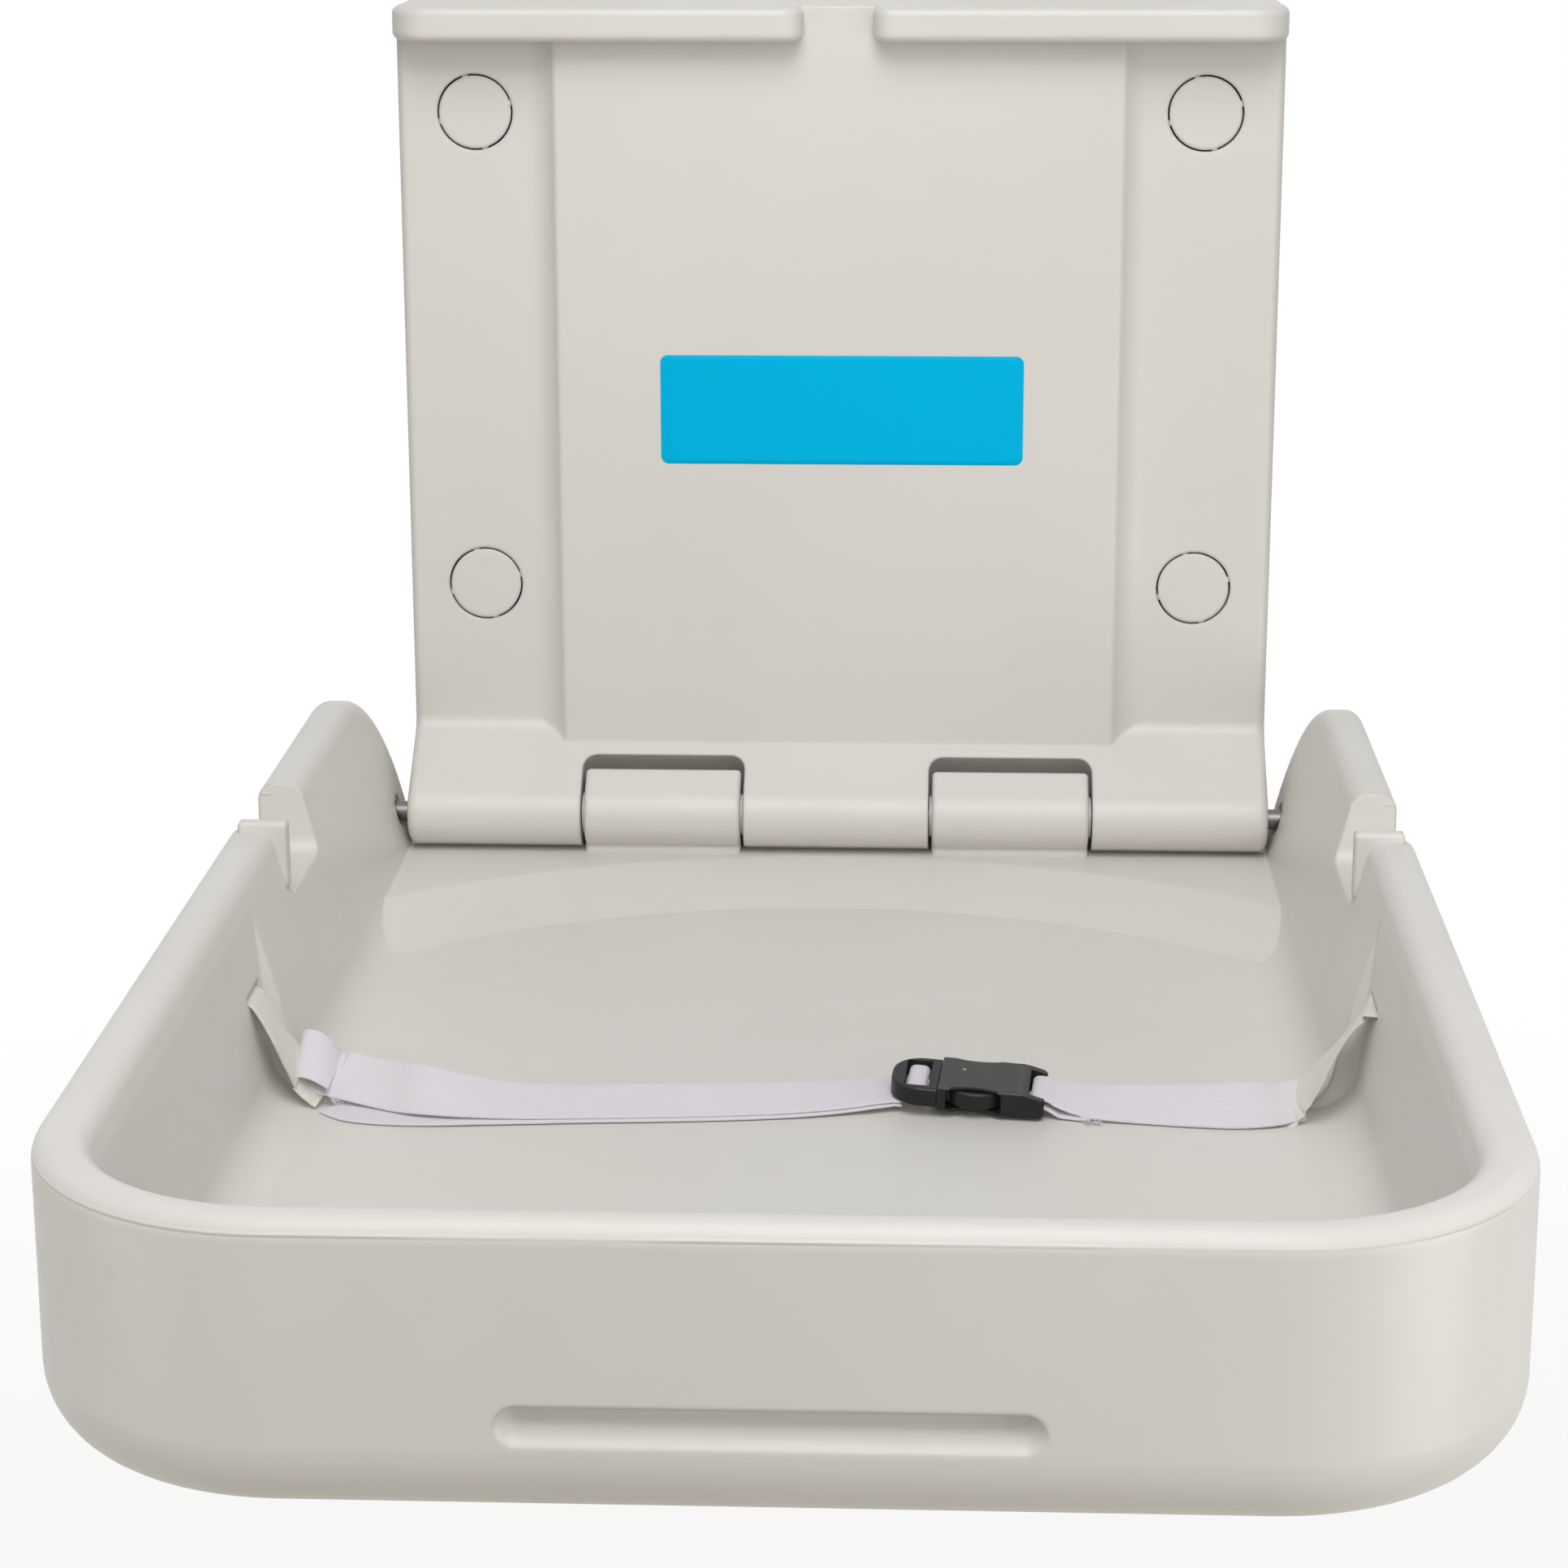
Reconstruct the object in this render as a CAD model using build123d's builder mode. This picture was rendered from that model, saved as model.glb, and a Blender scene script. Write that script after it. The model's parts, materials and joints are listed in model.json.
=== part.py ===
from build123d import *
import math
import os

# Lengths are millimetres and angles degrees. X runs to the right, Y into the wall and Z up.
# The origin is the middle of the four wall bolts, on the back face of the wall panel.
# The bed is modelled open. Heights named rise or drop are measured from the hinge axis.

# Clearances and cutting lengths
running_gap = 0.3
pin_gap = 0.08
seat_gap = 0.1
overrun = 12

# Wall bolts and their cups
bolt_spacing_x = 384
bolt_spacing_z = 254
lower_bolt_rise = 121.5
bolt_inset = 41
bolt_hole_radius = 4.5
cap_radius = 19
cap_ring_gap = 1
cap_thickness = 3
cap_skirt_depth = 9
cap_skirt_wall = 1.6
cap_edge_chamfer = 0.5
cap_nib_width = 3
cap_nib_angle = 15
seat_thickness = 10
washer_radius = 15
washer_thickness = 3
plate_width = 40
plate_thickness = 4
plate_overlap = 30

# Hinge
axis_out = 80
rod_radius = 5.5
rod_end_inset = 12
rod_chamfer = 1
knuckle_radius = 17.5
block_slope = 36.87
stop_drop = 19.2
lug_width = 84.5
lug_inset = 94.25
lug_gap = 2
lug_crest_radius = 24
lug_side_round = 2.5
lug_foot_out = 8
lug_foot_round = 3.5
lug_foot_toe = 3
lug_relief = 1
pocket_radius = 32
pocket_round = 8
bush_wall = 3
bush_length = 18
bush_flange_radius = 11
bush_flange_thickness = 1.4
end_cap_radius = 13
end_cap_thickness = 2.5
end_cap_plug = 6
ear_bush_inset = 2.5
ear_bush_length = 25

# Wall panel
panel_rise = 431.5
channel_depth = 52
centre_depth = 62
centre_inset = 84
centre_bevel = 7
centre_cove = 18
centre_edge_round = 3
panel_edge_round = 5
block_kink_round = 9
lip_height = 17.5
lip_depth = 80
lip_gap = 37
lip_outer_round = 20
lip_inner_round = 10.5
lip_edge_round = 4

# Bed shell
panel_side_gap = 6
bed_front = 844
bed_back = 51
rim_rise = 72
bed_drop = 45
front_corner_radius = 100
bottom_round = 30
rim_width = 21
front_rim_width = 18
rim_round = 8.5
ear_centre_out = 131
ear_length = 80
shelf_drop = stop_drop + running_gap
floor_drop = 32
rear_draft = 14
front_draft = 6.3
front_wall_inset = 2
step_behind_slot = 32
step_chamfer = 10
well_foot_round = 20
shelf_front_out = 92.5
shelf_front_sag = 131
shelf_foot_out = 147
shelf_foot_sag = 161
shelf_edge_round = 8
notch_front_out = 361
notch_back_out = 283
notch_floor_rise = 38
notch_round = 7
hook_length = 7.5
hook_rise = 76.5
hook_width = 23
hook_inset = 17.5
hook_round = 1.8
grip_width = 194
grip_height = 15.5
grip_depth = 9
grip_deep_height = 6.5
grip_top_rise = 3

# Belt slots and their keeper bars
slot_out = 462
slot_rise = 24
slot_length = 28
slot_height = 5
slot_depth = 11
keeper_radius = 2.5
keeper_chamfer = 0.5
keeper_length = 34
keeper_pocket_gap = 1

# Safety belt: webbing, sewn loops and the way it lies in the tray
web_width = 25
web_thickness = 1.4
loop_wall_gap = 34
loop_radius_left = 2.6
loop_radius_right = 1.5
loop_tilt_left = 48
loop_tilt_right = 34
loop_length = 10
belt_bow = 11
bow_power = 0.8
lean_power_left = 2
lean_power_right = 0.5
climb_power = 6
seam_steps = 3
seam_sink = 0.2
anchor_landing_gap = 5.5
belt_steps = 14
anchor_path_shares = (
    (0.07, 0.06, 55, 0),
    (0.34, 0.55, 68, 0.25),
    (0.59, 0.85, 58, 0.6),
    (0.8, 0.985, 25, 0.95),
    (1, 1, 0, 1),
    (1.38, 1, 0, 1),
)

# Buckle
buckle_x = 73
buckle_set_back = 18
buckle_tilt = 5
buckle_yaw = 5
buckle_pitch = 2.5
buckle_width = 34
buckle_thickness = 12
socket_length = 48
socket_mouth = -15
socket_corner = 3
socket_slope_length = 12
socket_end_drop = 3
thumb_recess_length = 22
thumb_recess_depth = 3
plug_length = 21.5
plug_thickness = 9
frame_bar = 6
frame_corner = 14
buckle_edge_round = 1.5
buckle_bar = 3.5
buckle_slot = 4
bar_thickness = 2.5
web_slot_gap = 0.6
tongue_width = 8
tongue_length = 22
tongue_thickness = 4
prong_root_radius = 2.5
prong_root_inset = 10
prong_length = 25
prong_thickness = 5
prong_bulge = 17.4
button_thickness = 8
button_inset = 13
button_edge_round = 1.5
cavity_height = 5.8
cavity_width = 28
cavity_depth = 31
window_start = -11
window_length = 25
window_height = 9
window_gap = 1.5

# Places that follow from the sizes above
axis_rise = -(lower_bolt_rise + bolt_spacing_z / 2)
panel_width = bolt_spacing_x + 2 * bolt_inset
rear_wall_slope = math.tan(math.radians(rear_draft))
front_wall_slope = math.tan(math.radians(front_draft))
bed_width = panel_width + 2 * (panel_side_gap + rim_width + rear_wall_slope * rim_rise)
wall_step_out = slot_out - step_behind_slot
hinge_plane = Plane(origin=(0, -axis_out, axis_rise), x_dir=(0, 1, 0), z_dir=(1, 0, 0))
cup_radius = cap_radius + cap_ring_gap
half_panel = panel_width / 2
half_bed = bed_width / 2
rod_half_length = half_bed - rod_end_inset
bush_outer = rod_radius + pin_gap + bush_wall
lug_inner_x = lug_inset - lug_width / 2
lug_outer_x = lug_inset + lug_width / 2
half_rim_inside = half_bed - rim_width
ear_inside_x = half_rim_inside - rear_wall_slope * rim_rise
slot_wall_x = half_rim_inside - front_wall_inset - front_wall_slope * (rim_rise - slot_rise)
keeper_x = slot_wall_x + slot_depth
keeper_ring_radius = keeper_radius + seat_gap
belt_out = slot_out
loop_x = slot_wall_x - loop_wall_gap
anchor_landing_x = loop_x + anchor_landing_gap
buckle_out = belt_out - buckle_set_back
bolt_places = GridLocations(bolt_spacing_x, bolt_spacing_z, 2, 2)


def wall_offset(depth):
    """The upright plane this far in front of the wall, seen from the room."""
    return Plane.XZ.offset(depth)


def level(rise):
    """The flat plane this high above the hinge axis."""
    return Plane.XY.offset(axis_rise + rise)


def block_profile(face_depth):
    """Side outline of the panel: flat back, knuckle round the axis, slope up to the face."""
    slope = math.radians(block_slope)
    tangent = (-knuckle_radius * math.sin(slope), knuckle_radius * math.cos(slope))
    face = axis_out - face_depth
    kink = (face, tangent[1] + (face - tangent[0]) * math.tan(slope))
    with BuildSketch() as outline:
        with BuildLine():
            Polyline((axis_out, -stop_drop), (0, -stop_drop), (0, -knuckle_radius))
            ThreePointArc((0, -knuckle_radius), (-knuckle_radius, 0), tangent)
            Polyline(
                tangent, kink, (face, panel_rise), (axis_out, panel_rise), (axis_out, -stop_drop)
            )
        make_face()
        fillet(outline.vertices().sort_by_distance(kink)[0], block_kink_round)
    return outline.sketch


# Raised centre of the wall panel, its bevelled sides rising from the channels in a cove
with BuildPart() as centre:
    with BuildSketch(hinge_plane):
        add(block_profile(centre_depth))
    extrude(amount=half_panel, both=True)
    top = half_panel - centre_inset
    foot = top + centre_bevel
    root = foot + centre_cove
    with BuildSketch(level(-pocket_radius)) as centre_outline:
        with BuildLine():
            Polyline(
                (-root, 0),
                (-root, -channel_depth),
                (-foot, -channel_depth),
                (-top, -centre_depth),
                (top, -centre_depth),
                (foot, -channel_depth),
                (root, -channel_depth),
                (root, 0),
                close=True,
            )
        make_face()
        for side in (-1, 1):
            foot_corner = centre_outline.vertices().sort_by_distance((side * foot, -channel_depth))[0]
            fillet(foot_corner, centre_cove)
            top_corner = centre_outline.vertices().sort_by_distance((side * top, -centre_depth))[0]
            fillet(top_corner, centre_edge_round)
    extrude(amount=panel_rise + 2 * pocket_radius, mode=Mode.INTERSECT)

# Lips along the top, one each side of the middle gap
with BuildPart() as lips:
    lip_root = channel_depth - panel_edge_round
    lip_length = (panel_width - lip_gap) / 2
    with BuildSketch(level(panel_rise - lip_height)) as lip_outline:
        for side in (-1, 1):
            with Locations((side * (lip_gap + lip_length) / 2, -(lip_depth + lip_root) / 2)):
                Rectangle(lip_length, lip_depth - lip_root)
        front_corners = lip_outline.vertices().group_by(Axis.Y)[0].sort_by(Axis.X)
        fillet(front_corners[1:3], lip_inner_round)
        front_corners = lip_outline.vertices().sort_by(Axis.X)
        fillet([front_corners.group_by(Axis.X)[i].sort_by(Axis.Y)[0] for i in (0, -1)], lip_outer_round)
    extrude(amount=lip_height)
    back_of_lips = lips.edges().group_by(Axis.Y)[-1]
    rims = lips.edges().group_by(Axis.Z)[0] + lips.edges().group_by(Axis.Z)[-1]
    fillet(rims - back_of_lips, lip_edge_round)

# Cups for the wall bolts, with their holes
with BuildPart() as cups:
    with BuildSketch(wall_offset(seat_thickness)):
        with bolt_places:
            Circle(cup_radius)
    extrude(amount=centre_depth - seat_thickness)
    with BuildSketch(wall_offset(-overrun)):
        with bolt_places:
            Circle(bolt_hole_radius)
    extrude(amount=seat_thickness + 2 * overrun)

# Room for the lugs of the bed to turn in, rounded like the lugs
with BuildPart() as lug_pockets:
    for side in (-1, 1):
        with BuildSketch(hinge_plane.offset(side * lug_inset - lug_width / 2 - lug_gap)):
            Circle(pocket_radius)
        extrude(amount=lug_width + 2 * lug_gap)
    fillet(lug_pockets.edges().filter_by(GeomType.CIRCLE), pocket_round)

# Steel plates let into the back, each joining an upper and a lower bolt
plates = []
for side, name in ((-1, "left"), (1, "right")):
    with BuildPart() as plate:
        with BuildSketch(Plane.XZ):
            with Locations((side * bolt_spacing_x / 2, 0)):
                SlotOverall(
                    bolt_spacing_z + 2 * plate_overlap, plate_width, rotation=90
                )
            with bolt_places:
                Circle(bolt_hole_radius, mode=Mode.SUBTRACT)
        extrude(amount=plate_thickness)
    plate.part.label = "strap_plate_" + name
    plates.append(plate.part)

# Wall panel
with BuildPart() as wall_panel:
    with BuildSketch(hinge_plane):
        add(block_profile(channel_depth))
    extrude(amount=half_panel, both=True)
    ends = wall_panel.faces().filter_by(Axis.X).sort_by(Axis.X)
    back_edges = wall_panel.edges().filter_by_position(Axis.Y, -seat_gap, seat_gap)
    flat_bottom = wall_panel.edges().filter_by_position(
        Axis.Z, axis_rise - stop_drop - seat_gap, axis_rise - knuckle_radius - seat_gap
    )
    fillet((ends[0].edges() + ends[-1].edges()) - back_edges - flat_bottom, panel_edge_round)
    add(centre.part)
    add(lips.part)
    add(cups.part, mode=Mode.SUBTRACT)
    with BuildSketch(Plane.XZ):
        for side in (-1, 1):
            with Locations((side * bolt_spacing_x / 2, 0)):
                SlotOverall(
                    bolt_spacing_z + 2 * (plate_overlap + seat_gap),
                    plate_width + 2 * seat_gap,
                    rotation=90,
                )
    extrude(amount=plate_thickness, mode=Mode.SUBTRACT)
    add(lug_pockets.part, mode=Mode.SUBTRACT)
    with BuildSketch(hinge_plane.offset(-half_panel - overrun)):
        Circle(rod_radius + pin_gap)
    extrude(amount=panel_width + 2 * overrun, mode=Mode.SUBTRACT)


def well_outline(inset):
    """Inner outline of the bed seen from above, this far inside the rim, open to the back."""
    half = half_rim_inside - inset
    front = -(bed_front - front_rim_width - inset)
    with BuildSketch() as outline:
        with BuildLine():
            Polyline((half, 0), (half, front), (-half, front), (-half, 0), (half, 0))
        make_face()
        front_corners = outline.vertices().group_by(Axis.Y)[0]
        fillet(front_corners, front_corner_radius - rim_width - inset)
    return outline.sketch


# Shelf at the back of the bed, with the curved ramp down to the floor
with BuildPart() as shelf:
    for drop, out, sag in (
        (shelf_drop, shelf_front_out, shelf_front_sag),
        (floor_drop, shelf_foot_out, shelf_foot_sag),
    ):
        radius = (half_bed**2 + sag**2) / (2 * sag)
        with BuildSketch(level(-drop)) as shelf_outline:
            Rectangle(bed_width, bed_front, align=(Align.CENTER, Align.MAX))
            with Locations((0, -out - radius)):
                Circle(radius, mode=Mode.SUBTRACT)
            with Locations((0, -out - radius)):
                Rectangle(bed_width, bed_front, align=(Align.CENTER, Align.MAX), mode=Mode.SUBTRACT)
    loft(ruled=True)
    fillet(shelf.edges().group_by(Axis.Z)[-1].filter_by(GeomType.CIRCLE), shelf_edge_round)

# Hollow of the bed between the steeper rear walls
with BuildPart() as rear_hollow:
    with BuildSketch(level(rim_rise)):
        add(well_outline(0))
    extrude(amount=-(rim_rise + floor_drop), taper=rear_draft)
    foot = rear_hollow.edges().group_by(Axis.Z)[0]
    fillet(foot, well_foot_round)
    add(shelf.part, mode=Mode.SUBTRACT)

# Wider hollow in front of the step in the side walls
with BuildPart() as front_hollow:
    with BuildSketch(level(rim_rise)) as front_outline:
        add(well_outline(front_wall_inset))
        with Locations((0, -wall_step_out)):
            Rectangle(
                bed_width, bed_front, align=(Align.CENTER, Align.MIN), mode=Mode.SUBTRACT
            )
        chamfer(front_outline.vertices().group_by(Axis.Y)[-1], step_chamfer)
    extrude(amount=-(rim_rise + floor_drop), taper=front_draft)
    foot = front_hollow.edges().group_by(Axis.Z)[0].sort_by(Axis.Y)
    fillet(foot[:-3], well_foot_round)

# Notches through the side walls that hold the straps of a bag
with BuildPart() as bag_notches:
    with BuildSketch(Plane.YZ.offset(-half_bed - overrun)) as notch_outline:
        with Locations((-notch_back_out, axis_rise + notch_floor_rise)):
            Rectangle(
                notch_front_out - notch_back_out, bed_drop + rim_rise, align=(Align.MAX, Align.MIN)
            )
        fillet(notch_outline.vertices().group_by(Axis.Y)[0], notch_round)
    extrude(amount=bed_width + 2 * overrun)

# Low hooks on the rim at the front edge of each notch
with BuildPart() as bag_hooks:
    for side in (-1, 1):
        with BuildSketch(level(notch_floor_rise + notch_round)) as hook_outline:
            with Locations((side * (half_bed - hook_inset), -notch_front_out)):
                Rectangle(hook_width, hook_length, align=(Align.CENTER, Align.MAX))
        extrude(amount=hook_rise - notch_floor_rise - notch_round)
    fillet(bag_hooks.edges().group_by(Axis.Z)[-1], hook_round)

# Finger grip in the front wall: a round-ended groove, deepest along its top
with BuildPart() as finger_grip:
    for inset, height in ((0, grip_height), (grip_depth, grip_deep_height)):
        with BuildSketch(wall_offset(bed_front - inset)):
            with Locations((0, axis_rise + grip_top_rise - height / 2)):
                SlotOverall(grip_width - inset, height)
    loft(ruled=True)
    extrude(finger_grip.faces().sort_by(Axis.Y)[0], amount=overrun)

# Belt slots in the side walls, each with a pocket for its keeper bar
with BuildPart() as belt_pockets:
    for side in (-1, 1):
        with BuildSketch(Plane.XZ.offset(slot_out - slot_length / 2)):
            with Locations((side * (slot_wall_x + slot_depth / 2), axis_rise + slot_rise)):
                Rectangle(slot_depth + slot_height, slot_height)
        extrude(amount=slot_length)
        with BuildSketch(Plane.XZ.offset(slot_out - keeper_length / 2 - keeper_pocket_gap)):
            with Locations((side * keeper_x, axis_rise + slot_rise)):
                Circle(keeper_ring_radius + web_thickness + keeper_pocket_gap)
        extrude(amount=keeper_length + 2 * keeper_pocket_gap)

# Hinge lugs of the bed, shaped to follow the knuckles of the wall panel
with BuildPart() as lugs:
    slope = math.radians(block_slope)
    tangent = Vector(-knuckle_radius * math.sin(slope), knuckle_radius * math.cos(slope))
    crest_run = math.sqrt(lug_crest_radius**2 - knuckle_radius**2)
    crest = tangent + Vector(math.cos(slope), math.sin(slope)) * crest_run
    lug_back = math.sqrt(lug_crest_radius**2 - shelf_drop**2)
    foot_top = Vector(-lug_foot_out, -math.sqrt(knuckle_radius**2 - lug_foot_out**2))
    foot_corner = Vector(-lug_foot_out, -shelf_drop)
    foot_toe = foot_corner - Vector(lug_foot_round + lug_foot_toe, 0)
    for side in (-1, 1):
        with BuildSketch(hinge_plane.offset(side * lug_inset - lug_width / 2)) as lug_outline:
            with BuildLine():
                ThreePointArc(foot_top, (-knuckle_radius, 0), tangent)
                Line(tangent, crest)
                ThreePointArc(crest, (lug_crest_radius, 0), (lug_back, -shelf_drop))
                Polyline(
                    (lug_back, -shelf_drop),
                    (lug_back, -floor_drop),
                    (foot_toe.X, -floor_drop),
                    foot_toe,
                    foot_corner,
                    foot_top,
                )
            make_face()
            fillet(lug_outline.vertices().sort_by_distance(foot_corner)[0], lug_foot_round)
        extrude(amount=lug_width)
    lug_ends = lugs.faces().filter_by(Axis.X).edges()
    fillet(lug_ends - lugs.edges().group_by(Axis.Z)[0], lug_side_round)

# Bores through the lugs and ears for the rod, its bushes and its end caps
with BuildPart() as hinge_bores:
    for side in (-1, 1):
        for start, length, radius in (
            (lug_inner_x - overrun, lug_width + 2 * overrun, rod_radius + lug_relief),
            (lug_inner_x - overrun, bush_length + overrun, bush_outer + seat_gap),
            (lug_outer_x - bush_length, bush_length + overrun, bush_outer + seat_gap),
            (ear_inside_x - overrun, half_bed - ear_inside_x + overrun, bush_outer + seat_gap),
            (half_bed - end_cap_thickness, end_cap_thickness + overrun, end_cap_radius + seat_gap),
        ):
            with BuildSketch(hinge_plane.offset(side * start)):
                Circle(radius)
            extrude(amount=side * length)

# Bed shell
with BuildPart() as bed_shell:
    with BuildSketch(level(-bed_drop)) as bed_outline:
        with Locations((0, -bed_back)):
            Rectangle(bed_width, bed_front - bed_back, align=(Align.CENTER, Align.MAX))
        fillet(bed_outline.vertices().group_by(Axis.Y)[0], front_corner_radius)
    extrude(amount=bed_drop + rim_rise)
    bottom_edges = bed_shell.edges().group_by(Axis.Z)[0]
    back_bottom = bottom_edges.sort_by(Axis.Y)[-1]
    fillet(bottom_edges - [back_bottom], bottom_round)
    with BuildSketch(hinge_plane):
        ear_top = axis_out - ear_centre_out
        ear_back = ear_top + ear_length
        with BuildLine():
            Polyline((ear_back, 0), (ear_length, 0), (ear_length, bed_front), (ear_top, bed_front))
            Line((ear_top, bed_front), (ear_top, rim_rise))
            EllipticalCenterArc((ear_top, 0), ear_length, rim_rise)
        make_face()
    extrude(amount=bed_width, both=True, mode=Mode.SUBTRACT)
    add(rear_hollow.part, mode=Mode.SUBTRACT)

    top_edges = bed_shell.edges().filter_by_position(
        Axis.Z, axis_rise + rim_rise - seat_gap, axis_rise + rim_rise + seat_gap
    )
    across_ears = top_edges.filter_by(Axis.X).sort_by(Axis.Y)[-2:]
    fillet(top_edges - across_ears, rim_round)

    add(front_hollow.part, mode=Mode.SUBTRACT)
    add(bag_notches.part, mode=Mode.SUBTRACT)
    add(bag_hooks.part)
    add(finger_grip.part, mode=Mode.SUBTRACT)
    add(belt_pockets.part, mode=Mode.SUBTRACT)
    add(lugs.part)
    add(hinge_bores.part, mode=Mode.SUBTRACT)

pieces = [wall_panel.part, *plates, bed_shell.part]
wall_panel.part.label = "wall_panel"
bed_shell.part.label = "bed_shell"

# Round covers pressed into the bolt cups, each with a skirt and four centring nibs
for row, rise in (("lower", -bolt_spacing_z / 2), ("upper", bolt_spacing_z / 2)):
    for side, name in ((-1, "left"), (1, "right")):
        with BuildPart() as bolt_cap:
            with Locations(wall_offset(channel_depth)):
                with Locations((side * bolt_spacing_x / 2, rise)):
                    Cylinder(cap_radius, cap_thickness, align=(Align.CENTER, Align.CENTER, Align.MAX))
            chamfer(bolt_cap.edges().group_by(Axis.Y)[0], cap_edge_chamfer)
            with BuildSketch(wall_offset(channel_depth - cap_thickness)):
                with Locations((side * bolt_spacing_x / 2, rise)):
                    Circle(cap_radius - cap_ring_gap)
                    Circle(cap_radius - cap_ring_gap - cap_skirt_wall, mode=Mode.SUBTRACT)
            extrude(amount=-cap_skirt_depth)
            with BuildSketch(wall_offset(channel_depth - cap_edge_chamfer)):
                with Locations((side * bolt_spacing_x / 2, rise)):
                    with PolarLocations(cap_radius - cap_ring_gap, 4, start_angle=cap_nib_angle):
                        Rectangle(
                            2 * cap_ring_gap - seat_gap, cap_nib_width, align=(Align.MIN, Align.CENTER)
                        )
            extrude(amount=-cap_skirt_depth)
        bolt_cap.part.label = f"bolt_cap_{row}_{name}"
        pieces.append(bolt_cap.part)

# Thick washers on the seats of the bolt cups
with BuildPart() as bolt_washers:
    with BuildSketch(wall_offset(seat_thickness)):
        with bolt_places:
            Circle(washer_radius)
            Circle(bolt_hole_radius, mode=Mode.SUBTRACT)
    extrude(amount=washer_thickness)
bolt_washers.part.label = "bolt_washers"
pieces.append(bolt_washers.part)

# Steel rod through every knuckle, lug and ear
with BuildPart() as hinge_rod:
    with BuildSketch(hinge_plane.offset(-rod_half_length)):
        Circle(rod_radius)
    extrude(amount=2 * rod_half_length)
    chamfer(hinge_rod.faces().filter_by(Axis.X).edges(), rod_chamfer)
hinge_rod.part.label = "hinge_rod"
pieces.append(hinge_rod.part)

# Bushes in the lugs, each with a flange against the lug's end, and plain bushes in the ears
for side, name in ((-1, "left"), (1, "right")):
    for end, face_x, inward in (("inner", lug_inner_x, 1), ("outer", lug_outer_x, -1)):
        with BuildPart() as lug_bush:
            with BuildSketch(hinge_plane.offset(side * face_x)):
                Circle(bush_outer)
            extrude(amount=side * inward * bush_length)
            with BuildSketch(hinge_plane.offset(side * face_x)):
                Circle(bush_flange_radius)
            extrude(amount=-side * inward * bush_flange_thickness)
            with BuildSketch(hinge_plane.offset(side * (face_x - inward * bush_flange_thickness))):
                Circle(rod_radius + pin_gap)
            extrude(amount=side * inward * (bush_length + bush_flange_thickness), mode=Mode.SUBTRACT)
        lug_bush.part.label = f"lug_bush_{name}_{end}"
        pieces.append(lug_bush.part)
    with BuildPart() as ear_bush:
        with BuildSketch(hinge_plane.offset(side * (ear_inside_x + ear_bush_inset))):
            Circle(bush_outer)
            Circle(rod_radius + pin_gap, mode=Mode.SUBTRACT)
        extrude(amount=side * ear_bush_length)
    ear_bush.part.label = "ear_bush_" + name
    pieces.append(ear_bush.part)
    with BuildPart() as rod_end_cap:
        with BuildSketch(hinge_plane.offset(side * (half_bed - end_cap_thickness))):
            Circle(end_cap_radius)
        extrude(amount=side * end_cap_thickness)
        chamfer(rod_end_cap.edges().sort_by(lambda e: abs(e.center().X))[-1], cap_edge_chamfer)
        with BuildSketch(hinge_plane.offset(side * (half_bed - end_cap_thickness))):
            Circle(bush_outer)
            Circle(rod_radius, mode=Mode.SUBTRACT)
        extrude(amount=-side * end_cap_plug)
    rod_end_cap.part.label = "rod_end_cap_" + name
    pieces.append(rod_end_cap.part)

# Bars behind the belt slots that hold the anchor webs
for side, name in ((-1, "left"), (1, "right")):
    with BuildPart() as belt_keeper:
        with BuildSketch(Plane.XZ.offset(slot_out - keeper_length / 2)):
            with Locations((side * keeper_x, axis_rise + slot_rise)):
                Circle(keeper_radius)
        extrude(amount=keeper_length)
        chamfer(belt_keeper.faces().filter_by(Axis.Y).edges(), keeper_chamfer)
    belt_keeper.part.label = "belt_keeper_" + name
    pieces.append(belt_keeper.part)


def web_plane(center, heading, tilt, side=-1):
    """Plane square to the webbing, X along its width; heading is its fall away from the wall."""
    fall = math.radians(heading)
    lean = math.radians(tilt)
    tangent = Vector(-side * math.cos(fall), 0, -math.sin(fall))
    across = Vector(-side * math.sin(fall), 0, math.cos(fall))
    width = Vector(0, 1, 0) * math.cos(lean) + across * math.sin(lean)
    return Plane(origin=center, x_dir=width, z_dir=tangent)


def loop_plane(center, tilt):
    """Plane across the webbing, X along the belt, for the sewn loops."""
    lean = math.radians(tilt)
    return Plane(origin=center, x_dir=(1, 0, 0), z_dir=(0, -math.cos(lean), -math.sin(lean)))


def sewn_loop(plane, length, radius):
    """One flattened ring of webbing; the plane's origin is the middle of the ring."""
    with BuildPart() as ring:
        with BuildSketch(plane):
            SlotCenterToCenter(length, 2 * radius + web_thickness)
            SlotCenterToCenter(length, 2 * radius - web_thickness, mode=Mode.SUBTRACT)
        extrude(amount=web_width / 2, both=True)
    return ring.part


def webbing(planes):
    """A band of webbing lofted through sections on these planes."""
    with BuildPart() as band:
        for plane in planes:
            with BuildSketch(plane):
                Rectangle(web_width, web_thickness)
        loft(ruled=True)
    return band.part


def lying_place(x, out, tilt, layer, lift=0):
    """Middle of webbing in the tray that leans on its front edge, in this layer from below."""
    lean = math.radians(tilt)
    lift = lift + layer * (web_thickness + running_gap)
    half_rise = (web_width * math.sin(lean) + web_thickness * math.cos(lean)) / 2
    return Vector(
        x,
        -out - lift * math.sin(lean),
        axis_rise - floor_drop + running_gap + half_rise + lift * math.cos(lean),
    )


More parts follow.
